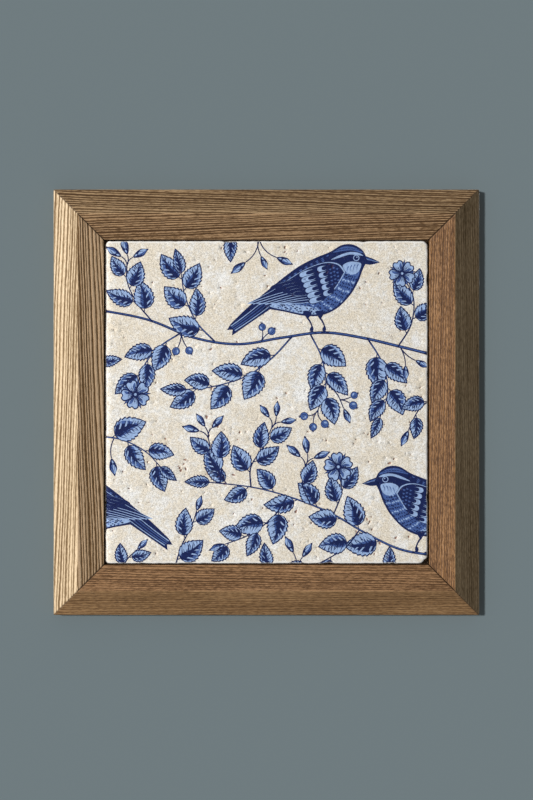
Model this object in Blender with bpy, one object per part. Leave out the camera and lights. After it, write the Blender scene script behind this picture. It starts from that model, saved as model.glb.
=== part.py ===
"""Framed stone panel: a printed travertine tile in a mitred wooden frame, on a sawtooth hanger.

The origin is the middle of the hanger's bridge, on the face that lies against the wall.
+X is the viewer's right, +Z is up, the wall is the plane y = 0 and the picture faces -Y.
Metres throughout.
"""

import math

import bmesh
import bpy
from mathutils import Matrix, Vector

# Clearances
TOUCH_GAP = 0.0003  # between faces that touch in the real panel
TILE_GAP = 0.001  # from the tile's edge to the frame, all round
BOARD_GAP = 0.0005  # from the board's edge to the sides of the rebate

# Tile
TILE_SIDE = 0.250
TILE_THICK = 0.010
FRONT_WEAR = 0.0015  # how far tumbling has rounded the front edge
BACK_WEAR = 0.0009
CORNER_RADII = {"bottom_right": 0.0050, "top_right": 0.0045, "top_left": 0.0035, "bottom_left": 0.0025}
# Chips in the tile's edge: side, distance from the middle of that side, half-length and depth
CHIPS = (
    ("top", 0.0754, 0.0042, 0.0007),
    ("top", -0.0310, 0.0060, 0.0004),
    ("right", 0.0950, 0.0070, 0.0007),
    ("right", -0.0740, 0.0050, 0.0005),
    ("bottom", 0.0490, 0.0060, 0.0005),
    ("left", -0.0200, 0.0050, 0.0004),
)
EDGE_SPANS = 16  # spans along each side of the tile
ARC_SPANS = 6  # spans round each of its corners

# Backing board, in a rebate behind the tile
BOARD_THICK = 0.003
BOARD_RECESS = 0.001  # how far the board lies inside the frame's back
BOARD_EASE = 0.0003
REBATE_WIDTH = 0.008

# Moulding, a low roof shape: a short outer slope and a longer inner one
MEMBER_WIDTH = 0.039
RIDGE_FROM_OUTSIDE = 0.0192
SIGHT_EDGE_PROUD = 0.0003  # sight edge above the tile's face
RIDGE_RISE = 0.0079  # ridge above the sight edge
RIDGE_DROP = 0.0105  # ridge above the outer edge
RIDGE_EASE = 0.0015
OUTER_EASE = 0.0012
SIGHT_EASE = 0.0006
BACK_EASE = 0.0008
EASE_SPANS = 3

# Hanger plate, bent from strip
HANGER_LENGTH = 0.046
HANGER_WIDTH = 0.010
HANGER_METAL = 0.001
BRIDGE_LENGTH = 0.024
BRIDGE_SLOPE = 0.002  # length of each bend between the bridge and a foot
TOOTH_PITCH = 0.003
TOOTH_DEPTH = 0.0014
SCREW_FROM_END = 0.0045
FOOT_SPANS = 6

# Screws
SCREW_LENGTH = 0.008  # under the head
SCREW_POINT = 0.002
SHANK_RADIUS = 0.0009
HEAD_RADIUS = 0.0021
HEAD_HEIGHT = 0.0012
HEAD_BELOW_BRIDGE = 0.0005  # keeps the heads off the wall
HOLE_GAP = 0.0003
SCREW_SIDES = 16

# Places that follow from the sizes
HALF_TILE = TILE_SIDE / 2
HALF_OPENING = HALF_TILE + TILE_GAP
REBATE_DEPTH = BOARD_RECESS + BOARD_THICK + TOUCH_GAP
TILE_BACK = REBATE_DEPTH  # as far in front of the board as the board's gap to the ledge
SIGHT_HEIGHT = TILE_BACK + TILE_THICK + SIGHT_EDGE_PROUD
RIDGE_HEIGHT = SIGHT_HEIGHT + RIDGE_RISE
OUTER_HEIGHT = RIDGE_HEIGHT - RIDGE_DROP
BRIDGE_RISE = HEAD_BELOW_BRIDGE + HEAD_HEIGHT + TOUCH_GAP  # bridge above the feet
FOOT_FACE = BRIDGE_RISE  # wall to the feet's outer face
FRAME_BACK = BRIDGE_RISE + HANGER_METAL + TOUCH_GAP
HANGER_ABOVE_SIGHT = (REBATE_WIDTH + MEMBER_WIDTH) / 2
MIDDLE_Z = -(HALF_OPENING + HANGER_ABOVE_SIGHT)
SCREW_X = HANGER_LENGTH / 2 - SCREW_FROM_END
HOLE_RADIUS = SHANK_RADIUS + HOLE_GAP
HEAD_FACE = FOOT_FACE - TOUCH_GAP - HEAD_HEIGHT  # wall to the outer face of a screw's head


def clear_scene():
    for old in list(bpy.data.objects):
        bpy.data.objects.remove(old, do_unlink=True)


def material(name, colour, roughness, metallic=0.0):
    made = bpy.data.materials.new(name)
    made.use_nodes = True
    shader = made.node_tree.nodes["Principled BSDF"]
    shader.inputs["Base Color"].default_value = (*colour, 1.0)
    shader.inputs["Roughness"].default_value = roughness
    shader.inputs["Metallic"].default_value = metallic
    made.diffuse_color = (*colour, 1.0)
    return made


def add_object(name, shape, finish, smooth_under=math.radians(35)):
    """Makes a named object of a bmesh, with its faces outwards."""
    bmesh.ops.recalc_face_normals(shape, faces=shape.faces)
    mesh = bpy.data.meshes.new(name)
    shape.to_mesh(mesh)
    shape.free()
    mesh.shade_smooth()
    mesh.set_sharp_from_angle(angle=smooth_under)
    mesh.materials.append(finish)
    made = bpy.data.objects.new(name, mesh)
    bpy.context.scene.collection.objects.link(made)
    return made


def loft(rings):
    """A closed solid through rings of equal length, with a cap on the first and on the last."""
    shape = bmesh.new()
    rows = [[shape.verts.new(point) for point in ring] for ring in rings]
    for row, following in zip(rows, rows[1:]):
        for i in range(len(row)):
            j = (i + 1) % len(row)
            shape.faces.new((row[i], row[j], following[j], following[i]))
    shape.faces.new(rows[0])
    shape.faces.new(rows[-1])
    return shape


def rounded(corners, spans):
    """Points round a polygon of (place, radius), with an arc at each corner whose radius isn't 0."""
    points = []
    for i, (corner, radius) in enumerate(corners):
        before = (Vector(corners[i - 1][0]) - Vector(corner)).normalized()
        after = (Vector(corners[(i + 1) % len(corners)][0]) - Vector(corner)).normalized()
        if radius == 0:
            points.append(Vector(corner))
            continue
        half = before.angle(after) / 2
        middle = Vector(corner) + (before + after).normalized() * radius / math.sin(half)
        start = Vector(corner) + before * radius / math.tan(half) - middle
        end = Vector(corner) + after * radius / math.tan(half) - middle
        turn = start.angle_signed(end)
        for step in range(spans + 1):
            part = turn * step / spans
            spun = Vector((
                start.x * math.cos(part) + start.y * math.sin(part),
                start.y * math.cos(part) - start.x * math.sin(part),
            ))
            points.append(middle + spun)
    return points


def member_section():
    """The moulding's section as (distance outwards from the sight edge, height above its back)."""
    ridge = MEMBER_WIDTH - RIDGE_FROM_OUTSIDE
    return rounded(
        (
            ((0, REBATE_DEPTH), 0),
            ((0, SIGHT_HEIGHT), SIGHT_EASE),
            ((ridge, RIDGE_HEIGHT), RIDGE_EASE),
            ((MEMBER_WIDTH, OUTER_HEIGHT), OUTER_EASE),
            ((MEMBER_WIDTH, 0), BACK_EASE),
            ((REBATE_WIDTH, 0), 0),
            ((REBATE_WIDTH, REBATE_DEPTH), 0),
        ),
        EASE_SPANS,
    )


def frame_member(name, turn, finish):
    """One side of the frame, mitred at both ends: the top rail, turned about the picture's middle."""
    mitre_gap = TOUCH_GAP / math.sqrt(2)  # along the member, for half of the gap across the joint
    rings = []
    for side in (-1, 1):
        rings.append([
            (side * (HALF_OPENING + out - mitre_gap), -(FRAME_BACK + height), HALF_OPENING + out)
            for out, height in member_section()
        ])
    shape = loft(rings)
    spin = Matrix.Rotation(turn, 4, "Y")
    bmesh.ops.transform(shape, matrix=Matrix.Translation((0, 0, MIDDLE_Z)) @ spin, verts=shape.verts)
    return add_object(name, shape, finish)


def chip_depth(side, along):
    """How far the chips of one side cut in at a place along it."""
    depth = 0.0
    for where, middle, half_length, deep in CHIPS:
        away = abs(along - middle) / half_length
        if where == side and away < 1:
            depth += deep * math.cos(away * math.pi / 2) ** 2
    return depth


def side_stations(side, start, end):
    """Places along a side of the tile: even spans, and closer ones through each chip."""
    stations = {start + (end - start) * step / EDGE_SPANS for step in range(1, EDGE_SPANS)}
    for where, middle, half_length, _ in CHIPS:
        if where == side:
            stations = {place for place in stations if abs(place - middle) > half_length}
            stations |= {middle + half_length * step / 2 for step in range(-2, 3)}
    return sorted(place for place in stations if start < place < end)


def tile_outline(inset):
    """The tile's edge seen from the front, anticlockwise from the bottom side, shrunk by inset."""
    sides = (
        ("bottom", "bottom_left", "bottom_right", 0),
        ("right", "bottom_right", "top_right", 1),
        ("top", "top_right", "top_left", 2),
        ("left", "top_left", "bottom_left", 3),
    )
    points = []
    for side, from_corner, to_corner, quarter in sides:
        # The top and left sides run backwards, so their chips are placed along -X and -Z.
        way = 1 if quarter < 2 else -1
        low = -HALF_TILE + CORNER_RADII[from_corner]
        high = HALF_TILE - CORNER_RADII[to_corner]
        low, high = (low, high) if way > 0 else (-high, -low)
        run = side_stations(side, low, high)
        straight = [
            Vector((way * along, -HALF_TILE + chip_depth(side, along) + inset))
            for along in (run if way > 0 else reversed(run))
        ]
        radius = CORNER_RADII[to_corner]
        middle = Vector((HALF_TILE - radius, -HALF_TILE + radius))
        arc = [
            middle + Vector((math.sin(turn), -math.cos(turn))) * (radius - inset)
            for turn in (math.pi / 2 * step / ARC_SPANS for step in range(ARC_SPANS + 1))
        ]
        for point in straight + arc:
            for _ in range(quarter):
                point = Vector((-point.y, point.x))
            points.append(point)
    return points


def stone_tile(finish):
    """The tile, its arrises rounded by tumbling more at the front than at the back."""
    front = TILE_BACK + TILE_THICK
    ease = 1 - math.sqrt(0.5)
    levels = (
        (BACK_WEAR, TILE_BACK),
        (BACK_WEAR * ease, TILE_BACK + BACK_WEAR * ease),
        (0.0, TILE_BACK + BACK_WEAR),
        (0.0, front - FRONT_WEAR),
        (FRONT_WEAR * ease, front - FRONT_WEAR * ease),
        (FRONT_WEAR, front),
    )
    rings = [
        [(point.x, -(FRAME_BACK + height), MIDDLE_Z + point.y) for point in tile_outline(inset)]
        for inset, height in levels
    ]
    return add_object("stone_tile", loft(rings), finish)


def backing_board(finish):
    """The board that the tile is glued to, let into the rebate."""
    side = 2 * (HALF_OPENING + REBATE_WIDTH - BOARD_GAP)
    shape = bmesh.new()
    bmesh.ops.create_cube(shape, size=1.0)
    bmesh.ops.scale(shape, vec=(side, BOARD_THICK, side), verts=shape.verts)
    middle = (0, -(FRAME_BACK + BOARD_RECESS + BOARD_THICK / 2), MIDDLE_Z)
    bmesh.ops.translate(shape, vec=middle, verts=shape.verts)
    board = add_object("backing_board", shape, finish)
    eased = board.modifiers.new("eased edges", "BEVEL")
    eased.width = BOARD_EASE
    eased.segments = 1
    return board


def hanger_stations():
    """Stations along the hanger plate as (x, lower edge, upper edge, share of the bridge's rise)."""
    half_width = HANGER_WIDTH / 2
    half_bridge = BRIDGE_LENGTH / 2
    steps = round(BRIDGE_LENGTH / TOOTH_PITCH) - 1
    toothed = []
    for step in range(-steps, steps + 1):
        notch = TOOTH_DEPTH * ((step + steps) % 2)
        toothed.append((step * TOOTH_PITCH / 2, notch - half_width, half_width, 1.0))
    right = [
        (half_bridge, -half_width, half_width, 1.0),
        (half_bridge + BRIDGE_SLOPE, -half_width, half_width, 0.0),
    ]
    # Each foot ends in a half circle, cut square just short of its tip.
    last_turn = math.pi / 2 * (1 - 1 / FOOT_SPANS)
    middle = HANGER_LENGTH / 2 - half_width * math.sin(last_turn)
    for step in range(FOOT_SPANS):
        turn = math.pi / 2 * step / FOOT_SPANS
        reach = half_width * math.cos(turn)
        right.append((middle + half_width * math.sin(turn), -reach, reach, 0.0))
    left = [(-x, lower, upper, rise) for x, lower, upper, rise in reversed(right)]
    return left + toothed + right


def screw_places():
    return {"hanger_screw_left": -SCREW_X, "hanger_screw_right": SCREW_X}


def hole_cutter(name, x, start, end):
    """A hidden cylinder along Y, for the hole of one screw."""
    shape = bmesh.new()
    depth = end - start
    bmesh.ops.create_cone(
        shape, cap_ends=True, segments=SCREW_SIDES, radius1=HOLE_RADIUS, radius2=HOLE_RADIUS, depth=depth
    )
    bmesh.ops.rotate(shape, matrix=Matrix.Rotation(math.pi / 2, 3, "X"), verts=shape.verts)
    bmesh.ops.translate(shape, vec=(x, -(start + depth / 2), 0), verts=shape.verts)
    mesh = bpy.data.meshes.new(name)
    shape.to_mesh(mesh)
    shape.free()
    cutter = bpy.data.objects.new(name, mesh)
    bpy.context.scene.collection.objects.link(cutter)
    cutter.hide_render = True
    cutter.display_type = "WIRE"
    return cutter


def cut(target, cutter):
    hole = target.modifiers.new(cutter.name, "BOOLEAN")
    hole.operation = "DIFFERENCE"
    hole.object = cutter


def hanger_plate(finish):
    """The bent strip: its bridge stands off the frame, and the nail sits in the bridge's teeth."""
    rings = []
    for x, lower, upper, rise in hanger_stations():
        outer = -FOOT_FACE + BRIDGE_RISE * rise
        inner = outer - HANGER_METAL
        rings.append([(x, outer, lower), (x, outer, upper), (x, inner, upper), (x, inner, lower)])
    plate = add_object("hanger_plate", loft(rings), finish)
    for screw, x in screw_places().items():
        cut(plate, hole_cutter(f"{screw}_plate_hole", x, 0.0, FRAME_BACK))
    return plate


def hanger_screw(name, x, finish):
    """A pan-head wood screw, turned from its half outline."""
    seat = FOOT_FACE - TOUCH_GAP
    tip = seat + SCREW_LENGTH
    outline = (
        (HEAD_RADIUS * 0.72, HEAD_FACE),
        (HEAD_RADIUS * 0.93, HEAD_FACE + HEAD_HEIGHT * 0.3),
        (HEAD_RADIUS, HEAD_FACE + HEAD_HEIGHT * 0.7),
        (HEAD_RADIUS, seat),
        (SHANK_RADIUS, seat),
        (SHANK_RADIUS, tip - SCREW_POINT),
        (SHANK_RADIUS * 0.25, tip),
    )
    rings = []
    for radius, depth in outline:
        turns = [2 * math.pi * step / SCREW_SIDES for step in range(SCREW_SIDES)]
        rings.append([(x + radius * math.cos(turn), -depth, radius * math.sin(turn)) for turn in turns])
    return add_object(name, loft(rings), finish)


def build():
    clear_scene()
    pale_wood = material("pale_wood", (0.40, 0.28, 0.17), 0.6)
    brown_wood = material("brown_wood", (0.17, 0.10, 0.055), 0.6)
    stone = material("stone", (0.75, 0.69, 0.58), 0.55)
    board = material("board", (0.20, 0.13, 0.08), 0.8)
    zinc = material("zinc_plate", (0.60, 0.60, 0.58), 0.4, 1.0)

    top = frame_member("frame_top_rail", 0.0, brown_wood)
    frame_member("frame_right_stile", math.pi / 2, brown_wood)
    frame_member("frame_bottom_rail", math.pi, brown_wood)
    frame_member("frame_left_stile", -math.pi / 2, pale_wood)
    stone_tile(stone)
    backing_board(board)
    hanger_plate(zinc)
    for screw, x in screw_places().items():
        hanger_screw(screw, x, zinc)
        end = FOOT_FACE - TOUCH_GAP + SCREW_LENGTH + HOLE_GAP
        cut(top, hole_cutter(f"{screw}_pilot_hole", x, 0.0, end))


build()
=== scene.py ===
import cmath
import math
import random

import bmesh
import bpy
import numpy as np
from mathutils import Matrix, Vector
from mathutils.geometry import delaunay_2d_cdt


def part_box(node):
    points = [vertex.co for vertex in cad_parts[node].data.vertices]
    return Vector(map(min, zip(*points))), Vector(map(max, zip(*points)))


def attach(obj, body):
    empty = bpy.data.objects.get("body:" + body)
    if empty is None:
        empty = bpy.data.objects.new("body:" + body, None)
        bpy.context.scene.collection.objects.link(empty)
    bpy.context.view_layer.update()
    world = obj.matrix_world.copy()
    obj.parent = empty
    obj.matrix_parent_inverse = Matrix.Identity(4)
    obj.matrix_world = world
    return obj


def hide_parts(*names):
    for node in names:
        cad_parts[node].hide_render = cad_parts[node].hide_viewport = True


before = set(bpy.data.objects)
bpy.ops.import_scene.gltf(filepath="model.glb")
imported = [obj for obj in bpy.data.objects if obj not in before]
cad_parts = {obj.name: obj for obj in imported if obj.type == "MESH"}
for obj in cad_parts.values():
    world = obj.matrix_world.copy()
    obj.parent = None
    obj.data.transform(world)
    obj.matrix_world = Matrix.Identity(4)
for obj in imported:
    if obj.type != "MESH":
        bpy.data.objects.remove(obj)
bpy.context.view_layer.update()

mm = 0.001
tau = 2 * math.pi
print("scene: frame loaded")

# Where the panel's faces lie, from the frame
railLow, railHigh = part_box("frame_top_rail")
tileLow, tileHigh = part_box("stone_tile")
headLow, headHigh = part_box("hanger_screw_left")
middleZ = (tileLow.z + tileHigh.z) / 2
frameBack = -railHigh.y
panelMiddle = Vector((0, (railLow.y + railHigh.y) / 2, middleZ))


# Small helpers for node trees

class Flow:  # what a node gives out; sums and products of flows put in the math nodes
    def __init__(self, tree, socket):
        self.tree = tree
        self.socket = socket

    def math(self, operation, *others):
        isVector = self.socket.type == "VECTOR" or any(isinstance(other, tuple) for other in others)
        kind = "ShaderNodeVectorMath" if isVector else "ShaderNodeMath"
        values = dict(enumerate((self, *others)))
        return put(self.tree, kind, values, 1 if operation == "LENGTH" else 0, operation=operation)

    def scaled(self, size):  # a vector, by a number
        return put(self.tree, "ShaderNodeVectorMath", {0: self, "Scale": size}, operation="SCALE")

    def swing(self, size):  # how far a noise lies from its middle, to scale
        return (self - 0.5) * size

    def __add__(self, other):
        return self.math("ADD", other)

    def __sub__(self, other):
        return self.math("SUBTRACT", other)

    def __mul__(self, other):
        return self.math("MULTIPLY", other)

    def __truediv__(self, other):
        return self.math("DIVIDE", other)


def addNode(tree, kind, values=None, **settings):  # a node with its settings, values and links
    node = tree.nodes.new(kind)
    for name, value in settings.items():
        setattr(node, name, value)
    for name, value in (values or {}).items():
        if isinstance(value, Flow):
            tree.links.new(value.socket, node.inputs[name])
        else:
            node.inputs[name].default_value = value
    return node


def put(tree, kind, values=None, output=0, **settings):  # such a node, for one of its outputs
    return Flow(tree, addNode(tree, kind, values, **settings).outputs[output])


def split(vector):  # its three numbers
    node = addNode(vector.tree, "ShaderNodeSeparateXYZ", {0: vector})
    return [Flow(vector.tree, socket) for socket in node.outputs]


def cloud(vector, scale, detail, rough, w, output=0):  # soft noise, its narrow spread round 0.5
    values = {"Vector": vector, "W": w, "Scale": scale, "Detail": detail, "Roughness": rough}
    return put(vector.tree, "ShaderNodeTexNoise", values, output, noise_dimensions="4D")


def streaks(place, along, across, detail, rough, w, output=0):  # such noise, drawn out along a board
    return cloud(place * (along, across, across), 1.0, detail, rough, w, output)


def between(value, low, high, outLow=0.0, outHigh=1.0, kind="SMOOTHSTEP"):  # a range drawn out to another
    values = {"Value": value, "From Min": low, "From Max": high, "To Min": outLow, "To Max": outHigh}
    return put(value.tree, "ShaderNodeMapRange", values, interpolation_type=kind)


def ramp(value, stops, kind="LINEAR"):  # stops are (place, colour or grey)
    node = addNode(value.tree, "ShaderNodeValToRGB", {0: value})
    node.color_ramp.interpolation = kind
    marks = node.color_ramp.elements
    while len(marks) < len(stops):
        marks.new(1.0)
    for mark, (place, colour) in zip(marks, stops):
        mark.position = place
        mark.color = (*colour, 1.0) if isinstance(colour, tuple) else (colour, colour, colour, 1.0)
    return Flow(value.tree, node.outputs[0])


def blend(factor, first, second, kind="MIX"):  # mixes two colours
    tree = (factor if isinstance(factor, Flow) else first).tree
    values = {0: factor}
    for place, value in ((6, first), (7, second)):
        values[place] = (*value, 1.0) if isinstance(value, tuple) else value
    return put(tree, "ShaderNodeMix", values, 2, data_type="RGBA", blend_type=kind)


def carried(tree, name, output="Fac"):  # an attribute that the mesh carries
    return put(tree, "ShaderNodeAttribute", None, output, attribute_name=name)


def newFinish(name, metallic=0.0):
    made = bpy.data.materials.new(name)
    made.use_nodes = True
    tree = made.node_tree
    shader = tree.nodes["Principled BSDF"]
    shader.inputs["Metallic"].default_value = metallic
    return made, tree, shader


def dress(shader, colour, roughness, height, depth, strength):  # the relief's depth is in millimetres
    values = {"Height": height, "Distance": depth * mm, "Strength": strength}
    bump = put(colour.tree, "ShaderNodeBump", values)
    for name, flow in (("Base Color", colour), ("Roughness", roughness), ("Normal", bump)):
        colour.tree.links.new(flow.socket, shader.inputs[name])


def inMillimetres(tree):
    return put(tree, "ShaderNodeTexCoord", None, "Object") * (1000.0, 1000.0, 1000.0)


def newTree(name, **inputs):  # a Geometry Nodes tree with named inputs by kind, and what it is given
    tree = bpy.data.node_groups.new(name, "GeometryNodeTree")
    for kind, names in {"Geometry": ["Geometry"], **inputs}.items():
        for socket in names:
            tree.interface.new_socket(socket, in_out="INPUT", socket_type="NodeSocket" + kind)
    tree.interface.new_socket("Geometry", in_out="OUTPUT", socket_type="NodeSocketGeometry")
    given = tree.nodes.new("NodeGroupInput").outputs
    return tree, {socket.name: Flow(tree, socket) for socket in given}


def closeTree(tree, flow, finish):  # hands out real geometry with its finish
    flow = put(tree, "GeometryNodeRealizeInstances", {0: flow})
    flow = put(tree, "GeometryNodeSetMaterial", {"Geometry": flow, "Material": finish})
    tree.links.new(flow.socket, tree.nodes.new("NodeGroupOutput").inputs[0])
    return tree


def fillInputs(modifier, values):  # sets a modifier's inputs by their sockets' identifiers
    for socket in modifier.node_group.interface.items_tree:
        if socket.in_out == "INPUT" and socket.name in values:
            modifier[socket.identifier] = values[socket.name]


# Small helpers for pieces and meshes

def addPiece(name, data, finish=None):  # an object in the scene, of a mesh, a light or a camera
    piece = bpy.data.objects.new(name, data)
    bpy.context.scene.collection.objects.link(piece)
    if finish:
        data.materials.append(finish)
    return piece


def asMesh(name, shape):  # ends the work on a shape
    mesh = bpy.data.meshes.new(name)
    shape.to_mesh(mesh)
    shape.free()
    return mesh


def meshOf(name, places, faces):
    mesh = bpy.data.meshes.new(name)
    mesh.from_pydata(places, [], faces)
    return mesh


def bands(rows):  # quads between rows of corners that each run round
    steps = [(i, (i + 1) % len(rows[0])) for i in range(len(rows[0]))]
    return [(a[i], b[i], b[j], a[j]) for a, b in zip(rows, rows[1:]) for i, j in steps]


def smoothed(mesh, angle):
    mesh.shade_smooth()
    mesh.set_sharp_from_angle(angle=math.radians(angle))


def plainMeshOf(piece):  # the evaluated piece as a mesh with no modifiers
    depsgraph = bpy.context.evaluated_depsgraph_get()
    mesh = bpy.data.meshes.new_from_object(piece.evaluated_get(depsgraph), depsgraph=depsgraph)
    piece.modifiers.clear()
    return mesh


def addNumbers(mesh, name, numbers, domain="POINT", kind="FLOAT", key="value"):
    layer = mesh.attributes.new(name, kind, domain)
    layer.data.foreach_set(key, np.ascontiguousarray(numbers, np.float32).ravel())


# Camera, at the photo's angle: straight on, from far enough to look flat

cameraPlan = {
    "lens": 150.0,
    "sensor": 36.0,
    "imageHeight": 800,  # pixels
    "pixelSize": 0.7754 * mm,  # at the frame's outer edge
    "offCentre": (0.1, 2.25),  # pixels that the panel's middle lies left of and below the image's
    "outerEdge": 12.0 * mm,  # height of that edge over the frame's back
}


def addCamera(plan):
    camera = bpy.data.cameras.new("camera")
    camera.lens = plan["lens"]
    camera.sensor_width = plan["sensor"]
    made = addPiece("camera", camera)
    away = plan["imageHeight"] * plan["pixelSize"] * plan["lens"] / plan["sensor"]
    made.location = (
        plan["offCentre"][0] * plan["pixelSize"],
        -(frameBack + plan["outerEdge"] + away),
        middleZ + plan["offCentre"][1] * plan["pixelSize"],
    )
    made.rotation_euler = (math.pi / 2, 0, 0)
    bpy.context.scene.camera = made


addCamera(cameraPlan)


# Lights: one broad key from the left, a soft pale room, one behind for the back, and one for the wall alone

lightPlan = {
    "room": {"colour": (0.95, 1.0, 1.03), "strength": 0.385},
    "key": {"colour": (1.0, 0.955, 0.89), "towards": (-0.875, -0.465, 0.12), "away": 3.0, "size": 1.05,
            "power": 112},
    "back": {"colour": (1.0, 0.99, 0.97), "towards": (0.45, 0.85, 0.35), "away": 2.0, "size": 1.2,
             "power": 34},
    "wall": {"colour": (0.985, 1.0, 1.0), "towards": (-0.37, -1.0, 0.1), "spread": 5.0, "power": 3.6},
}


def addLight(name, plan):  # a disk at a distance, or a sun where none is given
    light = bpy.data.lights.new(name, "AREA" if "away" in plan else "SUN")
    if "away" in plan:
        light.shape = "DISK"
        light.size = plan["size"]
    else:
        light.angle = math.radians(plan["spread"])
    light.energy = plan["power"]
    light.color = plan["colour"]
    made = addPiece(name, light)
    towards = Vector(plan["towards"]).normalized()
    made.location = panelMiddle + towards * plan.get("away", 1.0)
    made.rotation_mode = "QUATERNION"
    made.rotation_quaternion = towards.to_track_quat("Z", "Y")
    return made


def addRoom(plan):
    world = bpy.data.worlds.new("room")
    world.use_nodes = True
    sky = world.node_tree.nodes["Background"]
    sky.inputs["Color"].default_value = (*plan["colour"], 1.0)
    sky.inputs["Strength"].default_value = plan["strength"]
    bpy.context.scene.world = world
    bpy.context.scene.view_settings.view_transform = "Standard"


addRoom(lightPlan["room"])
keyLight = addLight("key", lightPlan["key"])
wallLight = addLight("wallLight", lightPlan["wall"])
addLight("back", lightPlan["back"])


# The wall that the panel hangs on and the floor: seen, but they throw no light or shade on the panel

stagePlan = {
    "colour": (0.098, 0.123, 0.131),
    "roughness": 0.9,
    "wallSize": 6.0,
    "wallGap": 0.2 * mm,  # behind the frame's back
    "floorDrop": 0.75,  # below the panel's middle
}


def addStage(plan):
    finish, tree, shader = newFinish("plainWall")
    shader.inputs["Base Color"].default_value = (*plan["colour"], 1.0)
    shader.inputs["Roughness"].default_value = plan["roughness"]
    behind = put(tree, "ShaderNodeNewGeometry", None, "Backfacing")
    clear = put(tree, "ShaderNodeBsdfTransparent")
    both = put(tree, "ShaderNodeMixShader", {0: behind, 1: Flow(tree, shader.outputs[0]), 2: clear})
    tree.links.new(both.socket, tree.nodes["Material Output"].inputs["Surface"])
    half = plan["wallSize"] / 2
    square = ((-half, -half), (half, -half), (half, half), (-half, half))
    wall = [(x, plan["wallGap"], middleZ + z) for x, z in square]
    floor = [(x, y, middleZ - plan["floorDrop"]) for x, y in square]
    lit = bpy.data.collections.new("litByWallLight")
    skipped = bpy.data.collections.new("skippedByKey")
    for name, corners in (("wall", wall), ("floor", floor)):
        made = addPiece(name, meshOf(name, corners, [(0, 1, 2, 3)]), finish)
        made.visible_diffuse = made.visible_glossy = False
        made.visible_transmission = made.visible_shadow = False
        lit.objects.link(made)
        skipped.objects.link(made)
    for entry in skipped.collection_objects:
        entry.light_linking.link_state = "EXCLUDE"
    keyLight.light_linking.receiver_collection = skipped
    wallLight.light_linking.receiver_collection = lit


addStage(stagePlan)
print("scene: camera, lights and stage made")


# Frame members: a low roof moulding of open-grained wood, brushed so that its soft rings lie lower

mouldingPlan = {  # millimetres; distance outwards from the sight edge, and height over the back
    "width": 39.0,
    "ridgeFromOutside": 19.2,
    "sightHeight": 14.6,
    "ridgeHeight": 22.5,
    "outerHeight": 12.0,
    "rebateWidth": 8.0,
    "rebateDepth": 4.3,
    "eases": {"sight": 0.6, "ridge": 0.9, "outer": 1.2, "back": 0.8},
    "easeSpans": 6,
    "fineStep": 0.27,  # across the face
    "coarseStep": 1.4,  # across the sides and the back
    "stationStep": 2.6,  # along the member
    "mitreGap": 0.03,
    "mitreEase": ((0.0, 0.3), (0.35, 0.1), (0.8, 0.0), (1.5, 0.0)),  # distance from the joint, and wear there
    "seamReach": 1.0,  # how far dirt has crept out of the joint
    "ridgeHighlightReach": 0.8,  # how far from the ridge the painted highlight along it reaches
    "backGrain": 0.45,  # how much of the grain's contrast shows on the unfinished back
    "dirt": (0.03, 0.017, 0.009),
    "darkening": ((0.0, 0.06), (0.2, 0.0), (0.38, 0.55), (0.6, 0.9), (0.88, 1.0), (1.0, 0.06)),  # in one year
    "meanDarkening": 0.58,
    "noiseGain": 2.2,  # soft noise keeps near 0.5, so its swing is drawn out
    "fibres": (0.24, 1.25, 4.0, 0.68),  # scales along and across the board, detail and roughness
    "pores": (0.26, 3.6, 1.0, 0.5),
    "patches": (0.012, 0.09, 3.0, 0.5),
}

# Each board's two slope tints are painted light and shade, standing in for the different light that falls on
# its inner and outer slopes; its ridge value is a painted highlight along the ridge
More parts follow.
